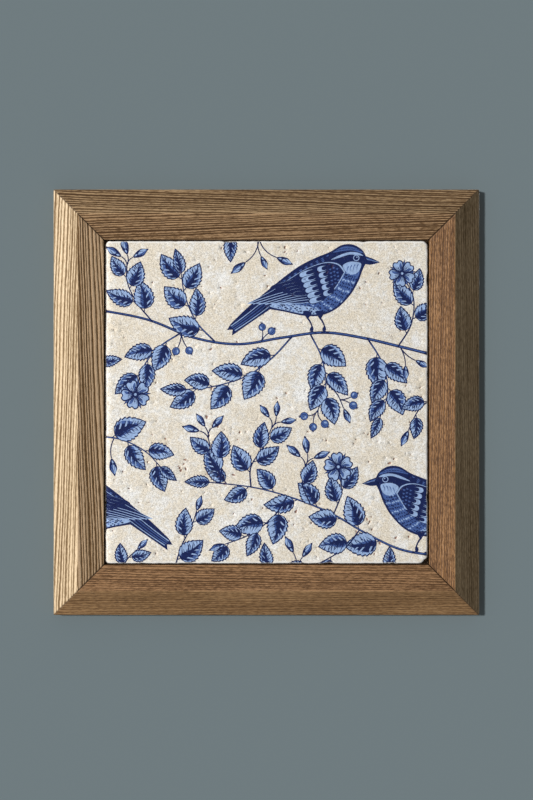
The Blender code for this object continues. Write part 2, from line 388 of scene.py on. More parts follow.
boardPlans = {  # how each member was cut from its log, in millimetres, and its colours
    "leftStile": {
        "node": "frame_left_stile", "slot": "pale_wood", "turn": -90, "seed": 3.1,
        "ringWidth": 0.98, "heart": (7.6, -177.0), "tilt": (0.003, 0.016), "wander": (1.3, 0.38),
        "grooveDepth": 0.22, "fibreDepth": 0.06,
        "tones": ((0.145, 0.077, 0.022), (0.405, 0.285, 0.158), (0.68, 0.512, 0.33)),
        "contrast": 1.2, "fibre": 0.62, "patch": 0.24, "pore": 0.2, "year": 0.36,
        "stainAndSlopeLight": {"inner": (1.15, 1.035, 0.955), "outer": (0.97, 0.974, 0.955)}, "ridgeHighlight": 0.1,
        "grainOn": {"inner": 1.4, "outer": 1.1},
    },
    "topRail": {
        "node": "frame_top_rail", "slot": "brown_wood", "turn": 0, "seed": 8.4,
        "ringWidth": 0.82, "heart": (6.0, -170.0), "tilt": (0.0, 0.014), "wander": (1.0, 0.3),
        "grooveDepth": 0.18, "fibreDepth": 0.07,
        "tones": ((0.082, 0.037, 0.008), (0.22, 0.128, 0.06), (0.48, 0.32, 0.19)),
        "contrast": 1.0, "fibre": 0.8, "patch": 0.34, "pore": 0.3, "year": 0.25,
        "stainAndSlopeLight": {"inner": (0.936, 0.878, 0.776), "outer": (0.885, 0.878, 0.797)}, "ridgeHighlight": 0.15,
        "grainOn": {"inner": 1.5, "outer": 1.36},
    },
    "bottomRail": {
        "node": "frame_bottom_rail", "slot": "brown_wood", "turn": 180, "seed": 5.7,
        "ringWidth": 0.72, "heart": (12.0, -150.0), "tilt": (0.0, -0.006), "wander": (0.9, 0.26),
        "grooveDepth": 0.12, "fibreDepth": 0.08,
        "tones": ((0.09, 0.04, 0.009), (0.225, 0.124, 0.052), (0.395, 0.235, 0.115)),
        "contrast": 0.48, "fibre": 0.95, "patch": 0.45, "pore": 0.34, "year": 0.15,
        "stainAndSlopeLight": {"inner": (0.967, 0.896, 0.865), "outer": (1.09, 1.07, 1.0)}, "ridgeHighlight": 0.5,
        "grainOn": {"inner": 1.5, "outer": 0.85},
    },
    "rightStile": {
        "node": "frame_right_stile", "slot": "brown_wood", "turn": 90, "seed": 1.9,
        "ringWidth": 0.66, "heart": (10.0, -160.0), "tilt": (0.001, -0.008), "wander": (0.7, 0.26),
        "grooveDepth": 0.12, "fibreDepth": 0.09,
        "tones": ((0.073, 0.033, 0.005), (0.18, 0.096, 0.035), (0.298, 0.175, 0.074)),
        "contrast": 0.5, "fibre": 1.05, "patch": 0.35, "pore": 0.5, "year": 0.15,
        "stainAndSlopeLight": {"inner": (1.0, 0.81, 0.55), "outer": (1.03, 1.23, 1.56)}, "ridgeHighlight": 0.35,
        "grainOn": {"inner": 1.5, "outer": 0.85},
    },
}


def roundCorners(corners, spans):  # corners are (place, radius), with complex places
    points = []
    for i, (corner, radius) in enumerate(corners):
        before = corners[i - 1][0] - corner
        after = corners[(i + 1) % len(corners)][0] - corner
        before, after = before / abs(before), after / abs(after)
        if radius == 0:
            points.append(corner)
            continue
        half = abs(cmath.phase(after / before)) / 2
        middle = corner + (before + after) / abs(before + after) * radius / math.sin(half)
        start = corner + before * radius / math.tan(half) - middle
        turn = cmath.phase((corner + after * radius / math.tan(half) - middle) / start)
        points += [middle + start * cmath.exp(1j * turn * step / spans) for step in range(spans + 1)]
    return points


def mouldingSection(plan):  # places round the section, the way in from each, and how weathered it is
    ridge = plan["width"] - plan["ridgeFromOutside"]
    eases = plan["eases"]
    corners = (
        (complex(0, plan["rebateDepth"]), 0),
        (complex(0, plan["sightHeight"]), eases["sight"]),
        (complex(ridge, plan["ridgeHeight"]), eases["ridge"]),
        (complex(plan["width"], plan["outerHeight"]), eases["outer"]),
        (complex(plan["width"], 0), eases["back"]),
        (complex(plan["rebateWidth"], 0), 0),
        (complex(plan["rebateWidth"], plan["rebateDepth"]), 0),
    )
    outline = roundCorners(corners, plan["easeSpans"])
    places = []
    for here, there in zip(outline, outline[1:] + outline[:1]):
        onFace = min(here.imag, there.imag) > plan["outerHeight"] - eases["outer"]
        step = plan["fineStep"] if onFace and here.real + there.real > 1 else plan["coarseStep"]
        spans = max(1, round(abs(there - here) / step))
        places += [here + (there - here) * i / spans for i in range(spans)]
    places = np.array(places)
    along = (np.roll(places, -1) - places) / abs(np.roll(places, -1) - places)
    inward = -1j * (along + np.roll(along, 1))
    inward /= abs(inward)
    onBack = (places.imag < plan["rebateDepth"] + 0.1) & (places.real < plan["width"] - 0.5)
    return places, inward, np.where(onBack, 0.15, 1.0)


def memberMesh(name, plan):
    section, inward, weathered = mouldingSection(plan)
    halfOpening = (railHigh.z - middleZ) / mm - plan["width"]
    reach = halfOpening + section.real - plan["mitreGap"] / math.sqrt(2)
    stations = max(3, round(2 * reach.max() / plan["stationStep"]))
    joint = [(away, ease, max(0.0, 1 - away / plan["seamReach"])) for away, ease in plan["mitreEase"]]
    rows = [(away - reach, ease, dirt) for away, ease, dirt in joint]  # stations from one joint to the other
    inner = reach - joint[-1][0]
    rows += [(inner * (2 * i / stations - 1), 0.0, 0.0) for i in range(1, stations)]
    rows += [(reach - away, ease, dirt) for away, ease, dirt in joint[::-1]]
    along, ease, dirt = (np.array(column) for column in zip(*rows))
    eased = section + inward * ease[:, None] * (weathered > 0.5)
    places = np.stack([along, eased.real, eased.imag], -1).reshape(-1, 3)
    ways = np.column_stack([0 * inward.real, inward.real, inward.imag])
    order = np.arange(len(places)).reshape(len(rows), -1).tolist()
    faces = bands(order) + [tuple(order[0])[::-1], tuple(order[-1])]
    shape = bmesh.new()
    shape.from_mesh(meshOf(name, places.tolist(), faces))
    bmesh.ops.recalc_face_normals(shape, faces=shape.faces)
    mesh = asMesh(name, shape)
    addNumbers(mesh, "boardPlace", places, kind="FLOAT_VECTOR", key="vector")
    addNumbers(mesh, "inward", np.tile(ways, (len(rows), 1)), kind="FLOAT_VECTOR", key="vector")
    addNumbers(mesh, "weathered", np.tile(weathered, len(rows)))
    addNumbers(mesh, "seam", np.repeat(dirt, len(section)))
    return mesh


def brushedGrainTree():  # rings round the log's heart, brushed hollow where they are soft
    sizes = ("Ring Width", "Wander", "Wave", "Groove Depth", "Fibre Depth", "Seed")
    tree, given = newTree("brushedGrain", Float=sizes, Vector=("Heart", "Tilt"), Material=["Finish"])
    seed = given["Seed"]

    def named(name, kind):
        return put(tree, "GeometryNodeInputNamedAttribute", {"Name": name}, data_type=kind)

    place = named("boardPlace", "FLOAT_VECTOR")

    def drifting(along, across, size):
        return (streaks(place, along, across, 2.0, 0.5, seed, 1) - (0.5, 0.5, 0.5)).scaled(size)

    wander = drifting(0.011, 0.05, given["Wander"]) + drifting(0.16, 0.5, given["Wave"])
    heart = given["Heart"] + given["Tilt"].scaled(split(place)[0])
    spoke = (place - heart + wander) * (0.0, 1.0, 1.0)
    rings = spoke.math("LENGTH") / given["Ring Width"]
    years = put(tree, "ShaderNodeCombineXYZ", {0: rings * 0.31})
    rings = rings + cloud(years, 1.0, 2.0, 0.6, seed) * 3.0
    part = rings.math("FRACT")
    soft = between(part, 0.2, 0.5, 1.0, 0.0).math("MAXIMUM", between(part, 0.88, 1.0))
    soft = soft * between(streaks(place, 0.03, 0.2, 2.0, 0.5, seed), 0.3, 0.65, 0.35, 1.0)
    fibres = between(streaks(place, 0.07, 1.1, 1.0, 0.5, seed), 0.35, 0.7)
    depth = (soft * given["Groove Depth"] + fibres * given["Fibre Depth"]) * named("weathered", "FLOAT")
    move = named("inward", "FLOAT_VECTOR").scaled(depth)
    values = {"Geometry": given["Geometry"], "Name": "rings", "Value": rings}
    flow = put(tree, "GeometryNodeStoreNamedAttribute", values, data_type="FLOAT", domain="POINT")
    flow = put(tree, "GeometryNodeSetPosition", {"Geometry": flow, "Offset": move})
    return closeTree(tree, flow, given["Finish"])


def woodFinish(name, plan, moulding):  # open-grained wood: rings, fibres, pores and slow patches of tone, with painted light and shade that tints each slope apart and a painted highlight along the ridge
    finish, tree, shader = newFinish(name)
    place = carried(tree, "boardPlace", "Vector")
    rings = carried(tree, "rings")
    seed = plan["seed"]
    late = ramp(rings.math("FRACT"), moulding["darkening"])
    year = put(tree, "ShaderNodeCombineXYZ", {0: rings.math("FLOOR")})
    yearTone = put(tree, "ShaderNodeTexWhiteNoise", {"Vector": year})
    seasons = put(tree, "ShaderNodeTexWhiteNoise", {"Vector": year, "W": seed}, noise_dimensions="4D")
    fibres = streaks(place, *moulding["fibres"], seed)
    pores = between(streaks(place, *moulding["pores"], seed + 1), 0.56, 0.68)
    patches = streaks(place, *moulding["patches"], seed + 2)
    contrast = between(yearTone, 0.0, 1.0, 0.55, 1.35, "LINEAR") * plan["contrast"]
    tone = (late - moulding["meanDarkening"]) * contrast + 0.5
    tone = tone + fibres.swing(plan["fibre"] * moulding["noiseGain"])
    tone = tone + patches.swing(plan["patch"] * moulding["noiseGain"])
    tone = tone + seasons.swing(plan["year"]) - pores * plan["pore"]

    _, outwards, height = split(place)
    onBack = between(height, 0.1, 0.6, 1.0, 0.0)
    pastRidge = outwards - (moulding["width"] - moulding["ridgeFromOutside"])
    # Painted highlight: the tone is raised in a narrow band along the ridge, where light catches it
    paintedRidgeHighlight = between(pastRidge.math("ABSOLUTE"), 0.0, moulding["ridgeHighlightReach"], plan["ridgeHighlight"], 0.0)
    paintedRidgeHighlight = paintedRidgeHighlight * between(onBack, 0.0, 1.0, 1.0, 0.0, "LINEAR")
    onOuter = put(tree, "ShaderNodeMix", {0: onBack, 2: between(pastRidge, -0.4, 0.4), 3: 0.5})
    grainOn = between(onOuter, 0.0, 1.0, plan["grainOn"]["inner"], plan["grainOn"]["outer"], "LINEAR")
    grainOn = grainOn * between(onBack, 0.0, 1.0, 1.0, moulding["backGrain"], "LINEAR")
    tone = (tone - 0.5) * grainOn + 0.5 + paintedRidgeHighlight
    colour = ramp(tone, list(zip((0.0, 0.5, 1.0), plan["tones"])))
    # Painted light and shade: the inner and outer slopes are tinted apart to stand in for the different light
    # that falls on them
    colour = blend(1.0, colour, blend(onOuter, plan["stainAndSlopeLight"]["inner"], plan["stainAndSlopeLight"]["outer"]), "MULTIPLY")
    colour = blend(carried(tree, "seam").math("POWER", 1.4) * 0.88, colour, moulding["dirt"])
    dress(shader, colour, between(tone, 0.1, 0.9, 0.68, 0.5, "LINEAR"), fibres * 1.4 - pores, 0.12, 0.8)
    shader.inputs["IOR"].default_value = 1.45
    return finish


def addMember(name, plan, moulding, tree):
    raw = addPiece(name + "Raw", memberMesh(name + "Raw", moulding))
    grain = raw.modifiers.new("grain", "NODES")
    grain.node_group = tree
    fillInputs(grain, {
        "Ring Width": plan["ringWidth"],
        "Wander": plan["wander"][0],
        "Wave": plan["wander"][1],
        "Groove Depth": plan["grooveDepth"],
        "Fibre Depth": plan["fibreDepth"],
        "Seed": plan["seed"],
        "Heart": (0.0, *plan["heart"]),
        "Tilt": (0.0, *plan["tilt"]),
        "Finish": woodFinish(name + "Wood", plan, moulding),
    })
    mesh = plainMeshOf(raw)
    bpy.data.objects.remove(raw)
    halfOpening = railHigh.z - middleZ - moulding["width"] * mm
    axes = Matrix(((mm, 0, 0, 0), (0, 0, -mm, -frameBack), (0, mm, 0, halfOpening), (0, 0, 0, 1)))
    spin = Matrix.Rotation(math.radians(plan["turn"]), 4, "Y")
    mesh.transform(Matrix.Translation((0, 0, middleZ)) @ spin @ axes)
    for spent in ("inward", "weathered"):
        mesh.attributes.remove(mesh.attributes[spent])
    smoothed(mesh, 50)
    piece = addPiece(name, mesh)
    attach(piece, "root")
    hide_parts(plan["node"])


grainTree = brushedGrainTree()
for memberName, boardPlan in boardPlans.items():
    addMember(memberName, boardPlan, mouldingPlan, grainTree)
print("scene: four frame members made")


# The print's marks: outlines in millimetres from the tile's middle, as complex numbers, each with an ink

def smoothRun(points, perSpan, closed=False):  # a curve through given places
    p = np.array(points, complex)
    count = len(p)
    run = []
    for i in range(count if closed else count - 1):
        if closed:
            a, b, c, d = p[i - 1], p[i], p[(i + 1) % count], p[(i + 2) % count]
        else:
            b, c = p[i], p[i + 1]
            a = p[i - 1] if i else 2 * b - c
            d = p[i + 2] if i + 2 < count else 2 * c - b
        t = np.arange(perSpan) / perSpan
        bend = (2 * a - 5 * b + 4 * c - d) * t**2 + (3 * b - a - 3 * c + d) * t**3
        run.append(0.5 * (2 * b + (c - a) * t + bend))
    if not closed:
        run.append(p[-1:])
    return np.concatenate(run)


def directions(run):
    way = np.gradient(run)
    return way / np.maximum(abs(way), 1e-9)


def ribbon(run, widthStart, widthEnd):  # a line that narrows along its way
    run = np.asarray(run, complex)
    side = 1j * directions(run) * np.linspace(widthStart, widthEnd, len(run)) / 2
    return np.concatenate([run + side, (run - side)[::-1]])


def bowed(a, b, bow, steps=5):  # a line from a to b that bows to its left by a share of its length
    t = np.linspace(0, 1, steps)
    return a + (b - a) * t + 1j * (b - a) * bow * 4 * t * (1 - t)


def stroke(a, b, width, bow):  # a short tapered mark of the engraver's needle
    middle = a + (b - a) * (0.42 + 1j * bow)
    across = 1j * (b - a) / abs(b - a) * width / 2
    return np.array([a, middle - across, b, middle + across])


leafPlan = {
    "line": 1.15,  # width of the outline
    "teeth": 8,
    "toothDepth": 0.05,
    "veins": 4,
    "vein": 1.05,
    "midrib": 1.1,
    "hatches": 7,
    "hatch": 0.8,
    "lobes": (  # ink, 1 on the shaded side, reach, end along the leaf, how it narrows
        ("mid", 1, (0.9, 1.2), (0.75, 1.0), 0.45), ("mid", -1, (0.35, 0.7), (0.55, 0.8), 0.8),
        ("navy", 1, (0.75, 1.1), (0.6, 0.9), 0.8), ("navy", -1, (0.2, 0.5), (0.35, 0.6), 0.9),
    ),
    "widths": (0.78, 0.98),  # against the length
    "length": 26.0,
    "stalk": 2.6,
}


def leaf(at, turn, length, width, bend, shade):  # a toothed leaf with its light and shade
    plan = leafPlan
    chance = random.Random(int(at.real * 37 + at.imag * 11))
    curve = (bend or 1e-3) / length
    teeth = plan["teeth"]

    def lay(x, y):  # x from the stalk to the tip and y across, laid on the bent midrib
        spin = np.exp(1j * curve * np.asarray(x, float))
        return at + cmath.exp(1j * turn) * ((spin - 1) / (1j * curve) + 1j * np.asarray(y, float) * spin)

    def half(t):
        return length * width / 2 * 2.08 * np.power(t, 0.58) * (1 - t)

    def edge(side, shrink):
        t = np.array([(i + part) / teeth for i in range(teeth) for part in (0.06, 0.55, 0.94)])
        out = np.tile([-0.4, 0.2, 0.65], teeth) * np.sin(math.pi * np.minimum(t * 1.1, 1))
        return t, side * np.maximum(half(t) + plan["toothDepth"] * length * out - shrink, 0.05)

    def outline(shrink, start=0.0, end=1.0):
        upperT, upper = edge(1, shrink)
        lowerT, lower = edge(-1, shrink)
        keep = (upperT > start) & (upperT < end)
        x = np.concatenate([[start], upperT[keep], [end], lowerT[keep][::-1]]) * length
        return lay(x, np.concatenate([[0], upper[keep], [0], lower[keep][::-1]]))

    def lobe(side, reach, last, power):  # a patch that lies against the midrib
        t = np.linspace(0.03, last, 7)
        y = np.minimum(half(t) * reach * (1 - t / last) ** power, half(t) - 1.2 * plan["line"])
        y = np.maximum(y, 0.03) * side
        return lay(np.concatenate([t, t[::-2]]) * length, np.concatenate([y, 0 * y[::2]]))

    marks = [("navy", outline(0)), ("light", outline(plan["line"], 0.03, 0.95))]
    for ink, side, reach, last, power in plan["lobes"]:
        marks.append((ink, lobe(side * shade, chance.uniform(*reach), chance.uniform(*last), power)))
    for i in range(plan["hatches"]):
        for side in (1, -1):
            start = 0.1 + 0.74 * (i + chance.uniform(0.2, 0.8)) / plan["hatches"]
            reach = half(start) * chance.uniform(0.4, 0.85) * side
            foot, tip = lay(np.array([start, start + 0.12]) * length, np.array([0, reach]))
            marks.append(("navy", stroke(tip, foot, plan["hatch"] * chance.uniform(0.7, 1.3), 0.05 * side)))
    for i in range(plan["veins"]):
        for side in (1, -1):
            start = 0.08 + 0.78 * (i + chance.uniform(-0.15, 0.15)) / plan["veins"]
            first, last = start + 0.02 * side, min(start + chance.uniform(0.18, 0.27), 0.96)
            reach = (half(last) - plan["line"]) * chance.uniform(0.72, 0.98) * side
            if abs(reach) < 0.8:
                continue
            s = np.linspace(0, 1, 4)
            x = (first + (last - first) * s) * length
            y = reach * s**0.85
            if side == shade:  # a lit sliver beyond the vein
                lit = x + 0.08 * length * np.sin(math.pi * (0.15 + 0.75 * s))
                sliver = np.concatenate([x[1:], lit[:0:-1]]), np.concatenate([y[1:], y[:0:-1]])
                marks.append(("light", lay(*sliver)))
            else:  # a soft edge of shade under it
                dim = x - 0.05 * length * (1 - s)
                marks.append(("mid", lay(np.concatenate([x, dim[::-1]]), np.concatenate([y, y[::-1]]))))
            marks.append(("navy", ribbon(lay(x, y), plan["vein"] * chance.uniform(0.6, 1.1), 0.2)))
    rib = lay(np.linspace(0, 0.95, 8) * length, np.zeros(8))
    marks.append(("navy", ribbon(rib, plan["midrib"] * min(1, length / 20), 0.25)))
    return marks


def berry(at, turn, size):  # a round fruit with a dry crown and a highlight
    spin = cmath.exp(1j * turn)
    ring = np.exp(1j * np.linspace(0, tau, 15)[:-1])
    marks = []
    for side in (-0.5, 0, 0.5):
        tip = at + spin * size * (0.98 + 0.42 * cmath.exp(1j * side * 1.5))
        marks.append(("navy", ribbon([at + spin * size * 0.6, tip], 0.9, 0.35)))
    marks += [("navy", at + spin * ring * size), ("mid", at + spin * ring * (size - 0.5))]
    glint = smoothRun([-0.55+0.15j, -0.2+0.62j, 0.35+0.6j, 0.1+0.28j, -0.2+0.1j], 3, True)
    marks.append(("light", at + spin * glint * (size - 0.4)))
    marks.append(("navy", ribbon(at + spin * size * bowed(-0.5-0.35j, 0.55-0.25j, -0.12), 0.5, 0.25)))
    return marks


def bud(at, turn, length):  # a closed flower bud in its sepals
    spin = cmath.exp(1j * turn) * length
    half = [0.28+0.17j, 0.62+0.22j, 0.86+0.1j]
    shape = smoothRun([0, *half, 1.05, *np.conj(half[::-1])], 3, True)
    inner = smoothRun([0.36, 0.5+0.13j, 0.7+0.15j, 0.92+0.02j, 0.7-0.13j, 0.5-0.12j], 3, True)
    shaded = smoothRun([0.38, 0.6-0.02j, 0.9, 0.7-0.13j, 0.5-0.12j], 3, True)
    marks = [("navy", at + spin * shape), ("light", at + spin * inner), ("mid", at + spin * shaded)]
    for side in (1, -1):
        sepal = bowed(0.25 + 0.1j * side, 0.72 + 0.02j * side, 0.1 * side)
        marks.append(("navy", ribbon(at + spin * sepal, 0.8, 0.25)))
    marks.append(("light", at + spin * smoothRun([0.12, 0.22+0.07j, 0.32+0.03j, 0.22-0.02j], 3, True)))
    return marks


def blossom(at, turn, radius):  # an open flower of five notched petals
    rim = [0.38+0.30j, 0.78+0.42j, 1.0+0.20j]
    fill = [0.40+0.22j, 0.76+0.33j, 0.91+0.18j]
    petal = smoothRun([0.12, *rim, 0.90, *np.conj(rim[::-1])], 4, True)
    inner = smoothRun([0.20, *fill, 0.82, *np.conj(fill[::-1])], 4, True)
    ring = np.exp(1j * np.linspace(0, tau, 13)[:-1])
    marks = []
    for i in range(5):  # sepals show between the petals
        spin = cmath.exp(1j * (turn + tau * (i + 0.5) / 5)) * radius
        marks.append(("navy", at + spin * np.array([0.2, 0.7+0.1j, 1.08, 0.7-0.1j])))
        marks.append(("mid", at + spin * np.array([0.3, 0.7+0.05j, 0.96, 0.7-0.05j])))
    for i in range(5):
        spin = cmath.exp(1j * (turn + tau * i / 5)) * radius
        marks += [("navy", at + spin * petal), ("light", at + spin * inner)]
        marks.append(("mid", at + spin * smoothRun([0.2, 0.45-0.2j, 0.74-0.26j, 0.6-0.06j], 3, True)))
        for across in (-0.22, -0.08, 0.08, 0.22):
            line = at + spin * bowed(0.2 + across * 0.4j, 0.6 + across * 1j, 0)
            marks.append(("navy", ribbon(line, 0.6, 0.2)))
    marks.append(("navy", at + ring * radius * 0.24))
    for i in range(10):
        spin = cmath.exp(1j * (turn + tau * (i + 0.25) / 10)) * radius
        marks.append(("navy", ribbon([at + spin * 0.2, at + spin * 0.46], 0.45, 0.3)))
        marks.append(("navy", at + spin * 0.48 + ring[::2] * 0.5))
    marks.append(("light", at + ring[::2] * radius * 0.10))
    return marks


def cluster(at, turn, reach, kind, count, fan, seed):  # buds or berries on fine stems from one place
    chance = random.Random(seed)
    stems, marks = [], []
    for i in range(count):
        lean = i - (count - 1) / 2
        end = at + cmath.exp(1j * (turn + fan * lean)) * reach * chance.uniform(0.72, 1.12)
        line = bowed(at, end, -0.14 * (lean or 0.7), 7)
        stems.append(("navy", ribbon(line, 1.0, 0.8)))
        heading = cmath.phase(line[-1] - line[-2])
        if kind == "berry":
            size = chance.uniform(2.9, 3.6)
            marks += berry(line[-1] + cmath.exp(1j * heading) * size * 0.9, heading, size)
        else:
            marks += bud(line[-1], heading, chance.uniform(11, 14))
    return stems + marks


def sprig(points, leaves, widthStart, widthEnd, tip, tipSize=15, grow=1.0, side=1, seed=1, first=0.2,
          last=0.92):  # a stem through listed places, with leaves by turns on its two sides
    chance = random.Random(seed)
    run = smoothRun(points, 8)
    way = directions(run)
    stems = [("navy", ribbon(run, widthStart, widthEnd))]
    if widthStart > 1.3:
        stems.append(("mid", ribbon(run[2:-2] - 1j * way[2:-2] * 0.12, widthStart * 0.38, widthEnd * 0.2)))
    marks = []
    reached = np.concatenate([[0], np.cumsum(abs(np.diff(run)))])
    for i in range(leaves):
        share = first + (last - first) * i / max(leaves - 1, 1)
        spot = int(np.searchsorted(reached, share * reached[-1]).clip(1, len(run) - 1))
        at, heading = run[spot], cmath.phase(way[spot])
        turnSide = -side if i % 2 else side
        turn = heading + turnSide * (0.85 + chance.uniform(-0.15, 0.15))
        size = (leafPlan["length"] - 6.0 * share) * grow * chance.uniform(0.88, 1.1)
        foot = at + cmath.exp(1j * turn) * leafPlan["stalk"] * grow
        stems.append(("navy", ribbon(bowed(at, foot, 0.1 * turnSide), 0.9, 0.7)))
        width = chance.uniform(*leafPlan["widths"])
        bend = -turnSide * chance.uniform(0.15, 0.5)
        marks += leaf(foot, turn - 0.15 * turnSide, size, width, bend, turnSide)
    at, heading = run[-1], cmath.phase(way[-1])
    if tip == "leaf":
        marks += leaf(at, heading, tipSize, 0.66, 0.2 * side, side)
    elif tip == "bud":
        marks += bud(at, heading, tipSize)
    elif tip == "blossom":
        marks += blossom(at + cmath.exp(1j * heading) * 2, heading, tipSize)
    elif tip == "buds":
        marks += cluster(at, heading, tipSize, "bud", 3, 0.6, seed)
    elif tip == "berries":
        marks += cluster(at, heading, tipSize, "berry", 3, 0.7, seed)
    return stems + marks


def feather(root, tip, width, rim=1.3, side=0.55):  # one feather with a pale rim round its dark middle
    length = abs(tip - root)
    turn = (tip - root) / length
    upper = [0.3 * length + 0.42j * width, 0.75 * length + 0.5j * width, 0.95 * length + 0.3j * width]
    lower = [0.93 * length - 0.34j * width, 0.72 * length - 0.5j * width, 0.3 * length - 0.4j * width]
    full = smoothRun([0, *upper, length, *lower], 3, True)
    pale = full.mean() + (full - full.mean()) * (1 - 0.9 / width)
    core = full.real * (1 - rim / length) + 1j * full.imag * (1 - 2 * side / width)
    return [("navy", root + turn * full), ("light", root + turn * pale), ("navy", root + turn * core)]


def bird(at, size, facing=1, seed=4):  # a small perched songbird, drawn facing right about its middle
    chance = random.Random(seed)
    marks = []

    def add(ink, points):
        marks.append((ink, np.asarray(points, complex)))

    def patch(ink, *points):
        add(ink, smoothRun(points, 4, True))

    beakTop = smoothRun([58+22j, 52+25j, 46.5+27j], 3)
    backPoints = [43.5+32j, 36+36.3j, 27+35.8j, 18+30.5j, 7+26j, -6+19.5j, -18+11j]
    back = smoothRun([46.5+27j, *backPoints, -31+0.5j], 5)
    tailTop = smoothRun([-31+0.5j, -47-13j, -61.5-27j], 3)
    tailEnd = [-64.5-32j, -60-31.8j, -60.5-36.5j]
    tailLow = smoothRun([-60.5-36.5j, -44-25j, -30-15.5j], 3)
    bellyPoints = [-30-15.5j, -18-17.5j, -4-20.5j, 10-20.5j, 23-15j, 34-4j, 40.5+7j, 43.5+15j]
    belly = smoothRun([*bellyPoints, 46+20.5j], 5)
    beakLow = smoothRun([46+20.5j, 51+20.2j, 58+22j], 3)
    body = [beakTop[:-1], back[:-1], tailTop, tailEnd, tailLow[1:-1], belly[:-1], beakLow[:-1]]
    add("navy", np.concatenate(body))

    # breast and belly: a mid ground, a light flank, then rows of short strokes laid along the body
    patch("mid", 41.5+15j, 38.5+7j, 32.5-3.5j, 22.5-13.4j, 10-18.8j, -4-18.8j, -17-16j,
          -29-12.5j, -22-7j, -4-7j, 12-5j, 24+5j, 31+15j, 37+19j)
    patch("light", -30-13.2j, -17-16.3j, -4-19j, 9-19j, 4-14.2j, -6-12j, -14-11j, -22-10.6j)
    low = smoothRun([-24-14j, -12-17j, 4-19j, 16-17.2j, 27-10j, 35, 40+10j], 8)
    high = smoothRun([-22-8j, -10-8.5j, 4-8j, 15-4j, 23+4j, 29+12j, 34+18j], 8)
    for row in range(8):
        run = low + (high - low) * (row + 0.5) / 8
        way = directions(run)
        for i in range(1 + row % 2, len(run) - 1, 2):
            place = run[i] + complex(chance.uniform(-0.5, 0.5), chance.uniform(-0.4, 0.4))
            step = -way[i] * cmath.exp(1j * chance.uniform(-0.3, 0.3)) * chance.uniform(1.6, 2.6)
            ink = "navy" if (i + row) % 3 else "light"
            if i < 12 and ink == "light":
                ink = "mid"
            add(ink, stroke(place, place + step, chance.uniform(1.05, 1.5), 0.1))

    # head: crown strokes, brow line, cheek and eye
    patch("mid", 44+29.5j, 40+32.6j, 34.5+34.6j, 27.5+34.2j, 20+29.8j, 27+31j, 35+31.6j)
    for i in range(11):
        root = 42.5 + 31j - (22.5+1.5j) * i / 10 + 1.9j * math.sin(math.pi * i / 10)
        add("navy", stroke(root + 1.4j + 0.6, root - 2.6 + 0.4j, 0.6, 0.1))
    patch("light", 44.4+27.4j, 40+29.8j, 33+30.2j, 25+27.6j, 18.5+24j, 26+26j, 33+28.2j, 39.5+27.9j)
    patch("light", 42.8+20.6j, 39+22.4j, 33+22.4j, 28+19.4j, 30.5+14.6j, 36+12.4j, 40.6+14.6j)
    for i in range(4):
        root = 40.5 + 20.6j - i * 2.6 - 0.2j * i * i
        add("mid", ribbon(bowed(root, root - 1.2 - 4.6j, -0.12, 4), 0.8, 0.3))
    eye = 38.8+25.6j
    ring = np.exp(1j * np.linspace(0, tau, 17)[:-1])
    add("light", eye + ring * 2.5)
    add("navy", eye + ring * 1.9)
    add("light", eye + 0.5 + 0.6j + ring[::3] * 0.55)
    add("light", ribbon([47.5+24.4j, 52+23.3j, 56.2+22.3j], 0.35, 0.25))
    add("mid", smoothRun([47+25.8j, 51+24.4j, 54+23.3j, 50.5+23.6j, 47+24.8j], 2, True))

    # back: mid strokes over the mantle
    for row in range(4):
        for i in range(9 - row):
            share = (i + 0.5 * (row % 2)) / 9
            place = 17 + 28.3j - (39+22.8j) * share - (1.71+2.2j) * row + 1.2j * math.sin(math.pi * share)
            add("mid", stroke(place, place - 2.6 - 1.6j, 1.0, 0.12))

    # tail: long feathers with pale edges
    for offset, ink in ((-5.0, "light"), (-2.4, "mid"), (0.6, "mid"), (3.4, "light")):
        across = cmath.exp(-1j * math.radians(47)) * offset
        line = bowed(-28 - 7.5j + across * 0.81, -59.5 - 31j + across * 0.56, 0.015, 6)
        add(ink, ribbon(line, 0.35, 0.75))

    # wing: flight feathers first, then the rows of coverts over them
    shoulder = smoothRun([29+14j, 24+20j, 14+21.5j, 17j, -13+9.5j, -26+0.5j, -47-10.5j], 5)
    underside = smoothRun([-47-10.5j, -32-10.5j, -16-10.5j, -2-10j, 10-7j, 21+1j, 29+14j], 5)
    wing = np.concatenate([shoulder, underside[1:-1]])
    add("light", wing.mean() + (wing - wing.mean()) * 1.035)
    add("navy", wing)
    for i, tip in enumerate((-47-10.3j, -43.5-10.9j, -39-11.3j, -34-11.3j, -28.5-11.2j, -23-11j)):
        run = bowed(-4 + 2.5j + (1.6-1.9j) * i, tip, -0.02, 7)
        add("light", ribbon(run - 0.5j, 0.32, 0.6))
    for i in range(5):  # secondaries, ending short of the primaries
        marks.extend(feather(4 + 11j - (0.3+3.2j) * i, -30 + 1.5j + (4.34-1.18j) * i, 4.4))
    for i in range(6):  # greater coverts, broadly tipped with light
        marks.extend(feather(9 + 16.5j + (6-22j) * i / 5, -7.5 + 11j + (8-20.6j) * i / 5, 5.4, 6.5, 1.2))
    for i in range(5):  # median coverts
        marks.extend(feather(18 + 18.5j + (3.5-18j) * i / 4, 7 + 16j + (5-20j) * i / 4, 5.2, 4.2, 1.0))
    for row in range(3):  # the small feathers of the shoulder
        for i in range(5):
            place = 24.5 + 17.6j + (1.5-12j) * i / 4 - (2.7+0.2j) * row + 0.9j * (row % 2)
            add("mid", stroke(place, place - 2.3 - 0.8j, 1.5, 0.2))

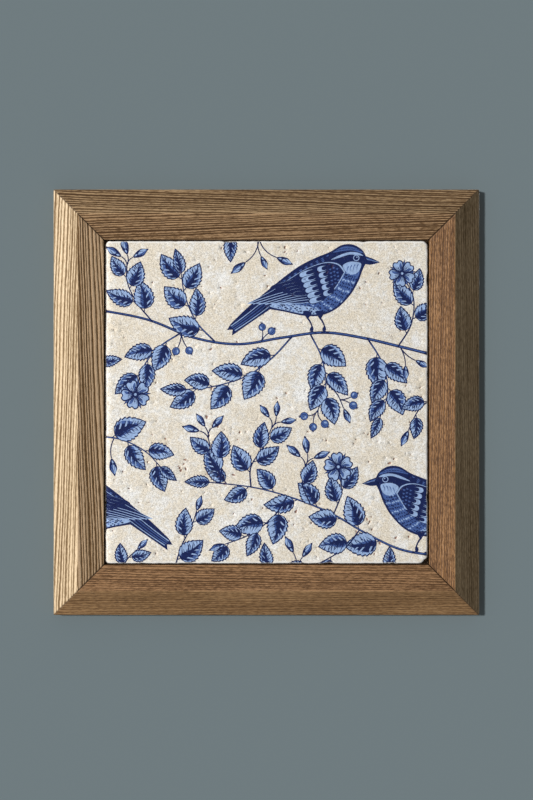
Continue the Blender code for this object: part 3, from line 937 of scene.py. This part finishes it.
    # legs: two thin shanks and toes that close on the branch
    for foot in (2.0, 12.0):
        hip = foot - 2.5 - 19j
        thigh = [hip - 3.4 + 2j, hip + 3.6 + 1.5j, hip + 1.4 - 3.4j, hip + 0.4 - 4.4j]
        add("navy", smoothRun(thigh, 3, True))
        ankle = complex(foot + 1.6, -29.5)
        add("navy", ribbon(bowed(hip - 3j, ankle, 0.06, 4), 1.5, 1.1))
        for toe, bow in ((-2.4, 0.35), (0.2, -0.35), (2.8, -0.35)):
            add("navy", ribbon(bowed(ankle, ankle + toe * 1.2 - 4.6j, bow, 5), 1.5, 0.8))
    return [(ink, at + size * (points if facing > 0 else -np.conj(points))) for ink, points in marks]


sprigs = (  # stem's places, leaves, two widths, what ends it and how big, growth, side, seed, first, last
    ([132+36j, 104+43j, 74+50j, 44+54j, 12+50j, -22+45j, -56+50j, -92+64j, -132+72j], 0, 2.4, 1.9, None),
    ([-40+47j, -54+62j, -63+82j, -66+100j], 5, 1.4, 0.8, "leaf", 20, 1.05, 1, 3),
    ([-88+62j, -101+78j, -108+94j, -108+106j], 4, 1.2, 0.8, "buds", 8, 0.9, -1, 5, 0.2, 0.8),
    ([-66+54j, -84+42j, -96+26j, -101+8j], 4, 1.4, 0.8, "blossom", 11.5, 1.0, 1, 7, 0.2, 0.75),
    ([20+51j, 4+34j, -16+20j, -42+12j, -62+10j], 6, 1.5, 0.8, "leaf", 21, 1.05, -1, 9),
    ([34+53j, 43+34j, 46+12j, 40-6j], 5, 1.4, 0.8, "berries", 10, 0.95, 1, 11, 0.2, 0.8),
    ([78+50j, 90+30j, 94+8j, 88-12j], 5, 1.4, 0.8, "leaf", 18, 1.0, -1, 13, 0.2, 0.76),
    ([102+43j, 112+60j, 114+80j, 106+98j], 4, 1.3, 0.8, "blossom", 10.5, 0.9, 1, 15, 0.2, 0.75),
    ([132-119j, 104-114j, 78-102j, 50-86j, 20-74j, -10-66j, -44-62j], 8, 2.1, 0.9, "leaf", 20, 1.0, 1, 17,
     0.24),
    ([52-87j, 58-70j, 56-52j], 2, 1.2, 0.8, "blossom", 11.5, 0.8, 1, 19, 0.2, 0.5),
    ([16-73j, 6-88j, -12-102j, -32-110j], 5, 1.3, 0.8, "bud", 13, 0.95, 1, 21),
    ([72-99j, 62-112j, 48-121j, 30-130j], 3, 1.2, 0.8, None, 14, 0.85, -1, 23),
    ([-12-66j, -12-50j, -2-34j, 4-20j], 4, 1.3, 0.8, "buds", 9, 0.95, 1, 29, 0.2, 0.8),
    ([-132-26j, -112-29j, -94-38j, -82-50j], 4, 1.4, 0.8, "leaf", 17, 1.0, 1, 25),
    ([-72-132j, -66-112j, -58-96j, -54-84j], 3, 1.2, 0.8, "bud", 12, 0.9, -1, 27, 0.2, 0.8),
    ([132+6j, 118-6j, 110-22j], 2, 1.1, 0.8, "bud", 13, 0.85, -1, 31, 0.2, 0.6),
    ([-36-63j, -35-50j, -42-38j, -45-28j], 3, 1.2, 0.8, "buds", 9, 0.85, 1, 33, 0.2, 0.7),
    ([34-79j, 28-64j, 30-50j], 1, 1.1, 0.8, "buds", 10, 0.8, -1, 35, 0.5),
    ([46+16j, 55+6j, 60-5j], 0, 1.1, 0.8, "bud", 12, 0.7, -1, 37),
    ([-112-132j, -108-122j, -100-114j], 2, 1.1, 0.8, "bud", 11, 0.7, 1, 39, 0.2, 0.6),
)
clusters = (  # place, turn, reach, buds or berries, how many, fan, seed
    (-6+128j, -1.45, 20, "bud", 3, 0.6, 2), (104+42j, -1.0, 17, "bud", 2, 0.6, 4),
    (-118-28j, -1.7, 15, "bud", 1, 0.6, 6), (-4+47j, 1.15, 9, "berry", 2, 0.6, 10),
    (24-130j, 1.5, 14, "bud", 2, 0.6, 14), (-66+54j, -1.5, 14, "berry", 2, 0.6, 16),
    (57+2j, -0.05, 9, "berry", 2, 0.6, 12),
)
looseLeaves = (  # place, turn, length, width, bend, shaded side
    (-27+128j, -1.75, 20, 0.72, 0.3, 1), (2-128j, 1.9, 20, 0.72, -0.3, 1),
    (94-130j, 1.35, 19, 0.72, 0.3, -1), (-128+30j, 0.35, 17, 0.72, -0.3, -1),
)
birds = ((32+87j, 0.97), (-134-80j, 0.95, -1, 5), (129-84j, 0.95, -1, 6))  # place, size, facing, seed


def picture():  # birds on two branches, in painter's order
    marks = []
    for draw, plans in ((sprig, sprigs), (cluster, clusters), (leaf, looseLeaves), (bird, birds)):
        for plan in plans:
            marks += draw(*plan)
    return marks


# The tile: tumbled stone with soft worn edges, chips and pits, and the print laid in its faces

tilePlan = {  # millimetres, places from the tile's middle
    "cornerRadii": {(1, -1): 5.0, (1, 1): 4.5, (-1, 1): 3.5, (-1, -1): 2.5},
    "ragged": 0.32,  # most that tumbling took off the outline
    "wear": (0.7, 1.5),  # least and most rounding of the front edge
    "leftWear": 2.0,  # what the left edge has lost on top of that
    "backWear": 0.9,
    "outlineStep": 1.3,
    "rings": (0.12, 0.35, 0.7, 1.2, 2.1),  # lines of points in from the edge
    "gridStep": 3.2,
    "mergeGap": 0.004,  # corners nearer than this become one
    "hollow": 0.16,  # depth of the slow waves of the worn face
    "chips": (  # place on the outline, half length, depth
        (75.4+125j, 4.2, 0.7), (-31+125j, 6.0, 0.4), (125+95j, 7.0, 0.7), (125-74j, 5.0, 0.5),
        (49-125j, 6.0, 0.5), (-125-20j, 5.0, 0.4), (12+125j, 2.6, 0.3), (-96-125j, 3.2, 0.35),
        (125+22j, 2.4, 0.3), (-125+66j, 3.0, 0.3), (-70+125j, 2.2, 0.25), (98-125j, 2.8, 0.3),
        (123.5-123.5j, 5.6, 1.7),
    ),
    "pits": 330,  # scattered singly over the face
    "pitField": 120,  # half the width of the part of the face where they lie
    "pitClusters": (  # middle, spread, count
        (14+121j, 9, 11), (46+106j, 8, 9), (55+113j, 7, 7), (-83-35j, 12, 8), (-65-51j, 7, 9),
        (-37-60j, 11, 16), (-42-18j, 9, 8), (94-50j, 5, 3), (73-90j, 8, 12), (18-81j, 12, 10),
        (90-117j, 12, 7), (-20+36j, 30, 10),
    ),
    "pitSize": (0.24, 1.15),
    "pitDepth": (0.15, 0.6),
    "frontMap": (0.9, 0.004+0.004j),  # size and corner of each part of the bake map
    "backMap": (0.08, 0.91+0.01j),
    "sideMap": (0.07, 0.92),
}
inkNumbers = {"light": 1, "mid": 2, "navy": 3}  # bare stone is 0
halfTile = (tileHigh.x - tileLow.x) / 2 / mm


def waves(places, length, seed):  # a smooth field, mostly between -1 and 1
    chance = random.Random(seed)
    total = 0
    count = 9
    for _ in range(count):
        way = cmath.exp(1j * chance.uniform(0, tau)) * tau / (length * chance.uniform(0.6, 1.7))
        total = total + np.cos((places * np.conj(way)).real + chance.uniform(0, tau))
    return np.tanh(total / math.sqrt(count / 2) * 0.8)


def ease(value, low, high):
    t = np.clip((value - low) / (high - low), 0, 1)
    return t * t * (3 - 2 * t)


def edgeOf(places, plan):  # distance in from the outline as first cut, and the nearest place on it
    x, y = places.real, places.imag
    signX, signY = np.where(x < 0, -1, 1), np.where(y < 0, -1, 1)
    radius = np.zeros(len(places))
    for (sideX, sideY), size in plan["cornerRadii"].items():
        radius[(signX == sideX) & (signY == sideY)] = size
    centre = signX * (halfTile - radius) + 1j * signY * (halfTile - radius)
    overX, overY = abs(x) - (halfTile - radius), abs(y) - (halfTile - radius)
    spoke = places - centre
    length = np.maximum(abs(spoke), 1e-6)
    sideways = abs(x) > abs(y)
    away = np.where(sideways, halfTile - abs(x), halfTile - abs(y))
    nearest = np.where(sideways, signX * halfTile + 1j * y, x + 1j * signY * halfTile)
    inCorner = (overX > 0) & (overY > 0)
    away = np.where(inCorner, radius - length, away)
    return away, np.where(inCorner, centre + spoke / length * radius, nearest)


def takenOff(nearest, plan):  # how far chips and tumbling cut in at a place on the outline
    taken = plan["ragged"] * (0.5 + 0.28 * waves(nearest, 11, 21) + 0.22 * waves(nearest, 3.4, 22))
    for place, halfLength, depth in plan["chips"]:
        away = np.minimum(abs(nearest - place) / halfLength, 1)
        taken = taken + depth * np.cos(away * math.pi / 2) ** 2
    return taken


def within(limits, share):
    return limits[0] + (limits[1] - limits[0]) * share


def wearOf(nearest, plan):
    wear = within(plan["wear"], 0.5 + 0.3 * waves(nearest, 24, 23) + 0.2 * waves(nearest, 6, 24))
    return wear + plan["leftWear"] * ease(-nearest.real, halfTile - 5, halfTile - 0.5)


def tileOutline(plan, inset=0.0):  # anticlockwise from the bottom side, shrunk by inset
    base, inward = [], []
    corners = [(1, -1), (1, 1), (-1, 1), (-1, -1)]
    for quarter, corner in enumerate(corners):
        spin = 1j**quarter
        before = plan["cornerRadii"][corners[quarter - 1]]
        radius = plan["cornerRadii"][corner]
        spans = round((2 * halfTile - before - radius) / plan["outlineStep"])
        along = np.linspace(-halfTile + before, halfTile - radius, spans + 1)[:-1]
        base.append(spin * (along - 1j * halfTile))
        inward.append(spin * 1j + 0 * along)
        turns = np.linspace(0, math.pi / 2, max(4, round(radius * 2.4)) + 1)[:-1]
        spokes = np.sin(turns) - 1j * np.cos(turns)
        base.append(spin * ((1-1j) * (halfTile - radius) + spokes * radius))
        inward.append(-spin * spokes)
    base, inward = np.concatenate(base), np.concatenate(inward)
    return base + inward * (takenOff(base, plan) + inset)


def scatterPits(plan):  # each pit is (middle, half length, half width, turn, depth)
    chance = random.Random(12)
    field = plan["pitField"]
    middles = []
    while len(middles) < plan["pits"]:
        place = complex(chance.uniform(-field, field), chance.uniform(-field, field))
        if chance.random() < 0.35 + 0.5 * float(waves(np.array([place]), 60, 31)[0]):
            middles.append((place, 0.8))
    for middle, spread, count in plan["pitClusters"]:
        for _ in range(count):
            middles.append((middle + complex(chance.gauss(0, spread / 2), chance.gauss(0, spread / 2)), 1.15))
    pits = []
    for place, grow in middles:
        if max(abs(place.real), abs(place.imag)) > field + 1:
            continue
        share = chance.random() ** 2.2
        size = within(plan["pitSize"], share) * grow
        length, width = size * chance.uniform(1.0, 1.7), size * chance.uniform(0.6, 0.95)
        pits.append((place, length, width, chance.gauss(1.2, 0.7), within(plan["pitDepth"], share)))
    return pits


def pitShape(places, pit):  # 1 in a pit's floor and 0 outside it
    middle, length, width, turn, _ = pit
    local = (places - middle) * cmath.exp(-1j * turn)
    away = np.hypot(local.real / length, local.imag / width)
    ragged = 1 + 0.16 * np.sin(3 * np.angle(local) + turn * 5) + 0.1 * np.sin(5 * np.angle(local) - turn * 9)
    return 1 - ease(away * ragged, 0.35, 1.15)


def covers(outline, places):  # which places an outline winds round
    turns = np.zeros(len(places), int)
    for a, b in zip(outline, np.roll(outline, -1)):
        side = ((b - a).conjugate() * (places - a)).imag
        turns += (a.imag <= places.imag) & (b.imag > places.imag) & (side > 0)
        turns -= (a.imag > places.imag) & (b.imag <= places.imag) & (side < 0)
    return turns != 0


def boundaryLoop(faces):  # the open edge of a flat mesh, in order
    edges = np.concatenate([faces[:, [0, 1]], faces[:, [1, 2]], faces[:, [2, 0]]])
    known = set(map(tuple, edges.tolist()))
    following = {a: b for a, b in known if (b, a) not in known}
    start = min(following)
    loop = [start]
    while following[loop[-1]] != start:
        loop.append(following[loop[-1]])
    return loop


def flatTile(plan, marks, pits):  # the face cut up along every mark: places, triangles and their inks
    outline = tileOutline(plan)
    points, edges = [], []

    def addRing(ring):
        start = len(points)
        points.extend(Vector((z.real, z.imag)) for z in ring)
        edges.extend((start + i, start + (i + 1) % len(ring)) for i in range(len(ring)))

    addRing(outline)
    shown = [(ink, mark) for ink, mark in marks
             if max(abs(mark.real).min(), abs(mark.imag).min()) < halfTile + 1]
    for _, mark in shown:
        addRing(mark)
    chance = random.Random(5)
    steps = int(2 * halfTile / plan["gridStep"])
    loose = [tileOutline(plan, inset) for inset in plan["rings"]]
    grid = np.array([complex(i + chance.uniform(-0.3, 0.3), j + chance.uniform(-0.3, 0.3))
                     for i in range(steps + 1) for j in range(steps + 1)])
    grid = (grid - (1+1j) * steps / 2) * plan["gridStep"]
    loose.append(grid[edgeOf(grid, plan)[0] > plan["rings"][-1] + 1.2])
    for middle, length, width, turn, _ in pits:
        for share, count in ((0.32, 4), (0.68, 8), (1.12, 9)):
            ring = np.exp(1j * (np.arange(count) + share) * tau / count)
            oval = length * ring.real + 1j * width * ring.imag
            loose.append(middle + cmath.exp(1j * turn) * share * oval)
    points.extend(Vector((z.real, z.imag)) for z in np.concatenate(loose))
    found, _, faces, _, _, _ = delaunay_2d_cdt(points, edges, [], 0, plan["mergeGap"], False)
    places = np.array([complex(*place) for place in found])
    faces = np.array(faces)
    centres = places[faces].mean(1)
    keep = edgeOf(centres, plan)[0] > 2.0
    keep[~keep] = covers(outline, centres[~keep])
    faces, centres = faces[keep], centres[keep]
    order = np.argsort(centres.real)
    sortedX = centres.real[order]
    inks = np.zeros(len(faces))
    for ink, mark in shown:
        near = order[slice(*np.searchsorted(sortedX, (mark.real.min(), mark.real.max())))]
        near = near[(centres.imag[near] > mark.imag.min()) & (centres.imag[near] < mark.imag.max())]
        if len(near):
            inks[near[covers(mark, centres[near])]] = inkNumbers[ink]
    used, faces = np.unique(faces, return_inverse=True)
    return places[used], faces.reshape(-1, 3), inks


def tileRelief(places, plan, pits):  # how far each place lies behind the front, and what shows there
    away, nearest = edgeOf(places, plan)
    away = np.maximum(away - takenOff(nearest, plan), 0)
    wear = wearOf(nearest, plan)
    over = np.clip(wear - away, 0, None)
    drop = wear - np.sqrt(np.maximum(wear**2 - over**2, 0))
    for length, seed, share in ((46, 41, 0.7), (14, 42, 0.3)):
        drop += 0.5 * plan["hollow"] * (1 + waves(places, length, seed)) * share
    pitted = np.zeros(len(places))
    order = np.argsort(places.real)
    sortedX = places.real[order]
    for pit in pits:
        ends = pit[0].real + 1.4 * pit[1] * np.array([-1, 1])
        near = order[slice(*np.searchsorted(sortedX, ends))]
        shape = pitShape(places[near], pit)
        drop[near] += pit[4] * shape
        pitted[near] = np.maximum(pitted[near], shape)
    return drop, pitted, away


stonePlan = {
    "noises": {  # scale, detail, roughness and seed
        "drift": (0.022, 2.0, 0.5, 2.0),
        "curd": (0.11, 6.0, 0.66, 5.0),
        "vein": (0.5, 6.0, 0.7, 9.0),
        "flecks": (0.42, 3.0, 0.6, 12.0),
        "cracks": (0.3, 3.0, 0.6, 41.0),
        "grit": (1.25, 1.0, 0.75, 31.0),
        "wash": (0.5, 4.0, 0.65, 14.0),
        "specks": (2.2, 2.0, 0.5, 18.0),
        "rust": (0.3, 2.0, 0.5, 22.0),
        "grain": (1.6, 4.0, 0.6, 25.0),
    },
    "tones": (
        (0.0, (0.77, 0.695, 0.58)), (0.42, (0.79, 0.735, 0.65)),
        (0.68, (0.815, 0.795, 0.757)), (1.0, (0.88, 0.88, 0.885)),
    ),
    "white": (0.94, 0.935, 0.93),  # flecks and fine cracks
    "bleached": (0.95, 0.945, 0.93),  # along the rim
    "inks": (  # none, light, mid and navy
        (0.0, (1.0, 1.0, 1.0)), (0.2, (0.325, 0.462, 0.745)),
        (0.5, (0.058, 0.115, 0.335)), (0.8, (0.006, 0.015, 0.088)),
    ),
    "rust": ((0.35, (0.43, 0.23, 0.165)), (0.65, (0.17, 0.062, 0.042))),
    "grit": ((0.36, 0.72), (0.5, 1.0), (0.64, 1.23)),  # what the stone's grit does to its tone
    "wash": ((0.32, 0.78), (0.5, 1.0), (0.7, 1.24)),  # how unevenly the inks lie
    "shine": 0.18,
}


def stoneFinish(plan):  # cream stone with white clouds, grain and rusty pits, and the inks laid on it
    finish, tree, shader = newFinish("printedTravertine")
    place = inMillimetres(tree)
    noises = {name: cloud(place, *values) for name, values in plan["noises"].items()}
    curd, vein = noises["curd"], noises["vein"]
    stone = ramp(noises["drift"].swing(1.5) + (curd.swing(2.3) + vein.swing(2.1)) + 0.42, plan["tones"])
    flecks = between(noises["flecks"], 0.585, 0.66, 0.0, 0.6)
    crazing = between((noises["cracks"] - 0.5).math("ABSOLUTE"), 0.006, 0.026, 0.7, 0.0)
    crazing = crazing * between(curd, 0.47, 0.58)
    stone = blend(flecks.math("MAXIMUM", crazing), stone, plan["white"])
    stone = blend(1.0, stone, ramp(noises["grit"], plan["grit"]), "MULTIPLY")
    ink = carried(tree, "ink") / 3.0
    inkColour = ramp(ink, plan["inks"], "CONSTANT")
    inkColour = blend(1.0, inkColour, ramp(noises["wash"], plan["wash"]), "MULTIPLY")
    worn = carried(tree, "rim") + curd * 0.8
    speck = between(noises["specks"], 0.68, 0.76, 0.0, 0.5)
    bare = between(worn, 1.12, 1.45).math("MAXIMUM", speck)  # where the ink has rubbed off
    hold = ink.math("GREATER_THAN", 0.1) * between(bare, 0.0, 1.0, 1.0, 0.0, "LINEAR")
    colour = blend(between(worn, 0.75, 1.15) * 0.85, stone, plan["bleached"])
    colour = blend(hold, colour, inkColour)
    rust = ramp(noises["rust"], plan["rust"])
    rusty = between(hold, 0.0, 1.0, 0.9, 0.12, "LINEAR")  # the ink has run into the pits and covers the rust
    colour = blend(between(carried(tree, "pit"), 0.12, 0.6) * rusty, colour, rust)
    grain = noises["grain"] + vein * 0.8
    dress(shader, colour, between(curd, 0.3, 0.7, 0.56, 0.68, "LINEAR"), grain, 0.16, 0.7)
    shader.inputs["Specular IOR Level"].default_value = plan["shine"]
    return finish


def addTile(plan):
    pits = scatterPits(plan)
    places, faces, inks = flatTile(plan, picture(), pits)
    print("scene: print cut in", len(faces), "faces")
    drop, pitted, away = tileRelief(places, plan, pits)
    loop = boundaryLoop(faces)
    front, back = tileLow.y, tileHigh.y
    middleX = (tileLow.x + tileHigh.x) / 2

    def lay(flat, depth):
        return np.column_stack([middleX + flat.real * mm, depth, middleZ + flat.imag * mm])

    rim = places[loop]
    nearest = edgeOf(rim, plan)[1]
    inward = nearest - rim
    inward = np.where(abs(inward) > 1e-6, -inward / np.maximum(abs(inward), 1e-6), -nearest / abs(nearest))
    levels = []  # down the side, then round the back edge
    for share in (0.5, 1.0):
        rough = 0.16 * (1 + waves(rim + 40 * share, 5, 51)) * math.sin(math.pi * share)
        top = front + drop[loop] * mm
        depth = top + (back - plan["backWear"] * mm - top) * share
        levels.append(lay(rim + inward * rough, depth))
    for inset, left in ((0.3, 0.3), (1.0, 0.0)):
        step = plan["backWear"] * mm
        levels.append(lay(rim + inward * inset * plan["backWear"], back - step * left + 0 * rim.real))
    count, total = len(loop), len(places)
    rows = [loop] + [list(range(total + k * count, total + (k + 1) * count)) for k in range(len(levels))]
    sides, sideMap = bands(rows), []
    height, foot = plan["sideMap"]
    for k in range(len(levels)):
        low, high = (foot + height * level / len(levels) for level in (k, k + 1))
        for i in range(count):
            left, right = i / count, (i + 1) / count
            sideMap += [(left, low), (left, high), (right, high), (right, low)]
    everyPlace = np.concatenate([lay(places, front + drop * mm)] + levels)
    mesh = meshOf("stoneTile", everyPlace.tolist(), faces.tolist() + sides + [tuple(rows[-1][::-1])])

    def mapOf(flat, size, corner):
        flat = (flat / (2 * halfTile) + 0.5 + 0.5j) * size + corner
        return np.column_stack([flat.real, flat.imag])

    frontMap = mapOf(places[faces.ravel()], *plan["frontMap"])
    backMap = mapOf(rim, *plan["backMap"])[::-1]
    mapped = np.concatenate([frontMap, np.array(sideMap), backMap])
    layer = mesh.uv_layers.new(name="OFBake")
    layer.data.foreach_set("uv", mapped.astype(np.float32).ravel())
    extra = np.zeros(len(levels) * count)
    addNumbers(mesh, "ink", np.concatenate([inks, np.zeros(len(sides) + 1)]), domain="FACE")
    addNumbers(mesh, "pit", np.concatenate([pitted, extra]))
    addNumbers(mesh, "rim", np.concatenate([1 - ease(away, 0.0, 2.8), extra + 1]))
    smoothed(mesh, 60)
    piece = addPiece("stoneTile", mesh, stoneFinish(stonePlan))
    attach(piece, "root")
    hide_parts("stone_tile")


addTile(tilePlan)
print("scene: tile made")


# Hidden side: the hardboard back and the hanger plate keep their CAD shapes, and the screws get threads

backPlan = {  # colours of the board, its stains and the plate, each along a range
    "board": ((0.3, (0.105, 0.062, 0.036)), (0.5, (0.20, 0.128, 0.078)), (0.72, (0.31, 0.215, 0.14))),
    "stainAndSlopeLight": ((0.35, 0.85), (0.65, 1.12)),
    "zinc": ((0.3, (0.50, 0.50, 0.49)), (0.7, (0.68, 0.68, 0.67))),
}


def boardFinish(plan):
    finish, tree, shader = newFinish("hardboard")
    place = inMillimetres(tree)
    chips = cloud(place, 0.9, 5.0, 0.7, 3.0)
    stainAndSlopeLight = ramp(cloud(place, 0.02, 3.0, 0.5, 6.0), plan["stainAndSlopeLight"])
    colour = blend(1.0, ramp(chips, plan["board"]), stainAndSlopeLight, "MULTIPLY")
    dress(shader, colour, between(chips, 0.3, 0.7, 0.72, 0.85, "LINEAR"), chips, 0.1, 0.6)
    return finish


def zincFinish(plan):
    finish, tree, shader = newFinish("zincPlate", 1.0)
    place = inMillimetres(tree)
    colour = ramp(cloud(place, 0.8, 3.0, 0.6, 4.0), plan["zinc"])
    scuff = cloud(place * (0.4, 1.0, 6.0), 1.0, 3.0, 0.6, 8.0)
    dress(shader, colour, between(scuff, 0.3, 0.7, 0.3, 0.46, "LINEAR"), scuff, 0.03, 0.5)
    return finish


def refinish(node, finish):
    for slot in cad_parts[node].material_slots:
        slot.material = finish


screwPlan = {  # millimetres, down from the face of the head
    "headHeight": 1.2,
    "headRadius": 2.1,
    "shankRadius": 0.9,
    "threadRadius": 1.12,
    "threadPitch": 1.0,
    "length": 9.2,
    "point": 2.0,
    "sides": 28,
    "slotLength": 2.3,
    "slotWidth": 0.5,
    "slotDepth": 0.7,
    "underHead": 1.2,  # plain shank before the thread
}


def screwProfile(plan):  # radius and depth, from the middle of the head to the point
    head, height = plan["headRadius"], plan["headHeight"]
    profile = [(0.0, 0.0)]
    for step in range(1, 7):
        turn = math.pi / 2 * step / 6
        profile.append((head * (0.45 + 0.55 * math.sin(turn)), height * 0.75 * (1 - math.cos(turn))))
    profile += [(head, height), (plan["shankRadius"], height)]
    depth = height + plan["underHead"]
    while depth < plan["length"] - plan["point"]:
        profile += [(plan["shankRadius"], depth), (plan["threadRadius"], depth + 0.35 * plan["threadPitch"])]
        depth += plan["threadPitch"]
    profile += [(plan["shankRadius"], plan["length"] - plan["point"]), (0.0, plan["length"])]
    return profile


def turned(name, profile, sides):
    shape = bmesh.new()
    line = [shape.verts.new((radius, 0.0, -depth)) for radius, depth in profile]
    edges = [shape.edges.new(pair) for pair in zip(line, line[1:])]
    about = {"axis": (0, 0, 1), "cent": (0, 0, 0), "angle": tau, "steps": sides, "use_merge": True}
    bmesh.ops.spin(shape, geom=line + edges, **about)
    bmesh.ops.remove_doubles(shape, verts=shape.verts, dist=1e-4)
    bmesh.ops.recalc_face_normals(shape, faces=shape.faces)
    return asMesh(name, shape)


def screwMesh(plan):  # a pan head with a cross recess
    screw = addPiece("screwRaw", turned("screwRaw", screwProfile(plan), plan["sides"]))
    for i in range(2):
        shape = bmesh.new()
        bmesh.ops.create_cube(shape, size=1.0)
        size = (plan["slotLength"], plan["slotWidth"], 2 * plan["slotDepth"])
        bmesh.ops.scale(shape, vec=size, verts=shape.verts)
        bmesh.ops.rotate(shape, matrix=Matrix.Rotation(math.pi / 2 * i, 3, "Z"), verts=shape.verts)
        cut = screw.modifiers.new("slot", "BOOLEAN")
        cut.operation = "DIFFERENCE"
        cut.object = addPiece(f"slot{i}", asMesh("slot", shape))
    mesh = plainMeshOf(screw)
    for name in ("screwRaw", "slot0", "slot1"):
        bpy.data.objects.remove(bpy.data.objects[name])
    mesh.transform(Matrix.Rotation(-math.pi / 2, 4, "X"))
    return mesh


def screwRowTree():  # a screw set at both ends of a line, each turned by chance
    tree, given = newTree("screwRow", Object=["Screw"], Float=("Half Spacing", "Face"), Material=["Finish"])
    half, face = given["Half Spacing"], given["Face"]
    start = put(tree, "ShaderNodeCombineXYZ", {0: half * -1.0, 1: face})
    end = put(tree, "ShaderNodeCombineXYZ", {0: half, 1: face})
    ends = {"Count": 2, "Start Location": start, "Offset": end}
    line = put(tree, "GeometryNodeMeshLine", ends, mode="END_POINTS")
    turn = put(tree, "FunctionNodeRandomValue", {"Max": (0.0, tau, 0.0), "Seed": 4}, data_type="FLOAT_VECTOR")
    screw = put(tree, "GeometryNodeObjectInfo", {"Object": given["Screw"]}, "Geometry")
    flow = put(tree, "GeometryNodeInstanceOnPoints", {"Points": line, "Instance": screw, "Rotation": turn})
    return closeTree(tree, flow, given["Finish"])


def addScrews(plan, finish):
    single = addPiece("screw", screwMesh(plan))
    row = addPiece("screwRow", meshOf("screwRow", [(0, 0, 0)], []))
    nodes = row.modifiers.new("row", "NODES")
    nodes.node_group = screwRowTree()
    fillInputs(nodes, {
        "Screw": single,
        "Half Spacing": -(headLow.x + headHigh.x) / 2 / mm,
        "Face": headHigh.y / mm,
        "Finish": finish,
    })
    mesh = plainMeshOf(row)
    mesh.transform(Matrix.Scale(mm, 4))
    bpy.data.objects.remove(single)
    bpy.data.objects.remove(row)
    smoothed(mesh, 35)
    piece = addPiece("hangerScrews", mesh)
    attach(piece, "root")
    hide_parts("hanger_screw_left", "hanger_screw_right")


zinc = zincFinish(backPlan)
refinish("backing_board", boardFinish(backPlan))
refinish("hanger_plate", zinc)
addScrews(screwPlan, zinc)
print("scene: back and hanger finished")
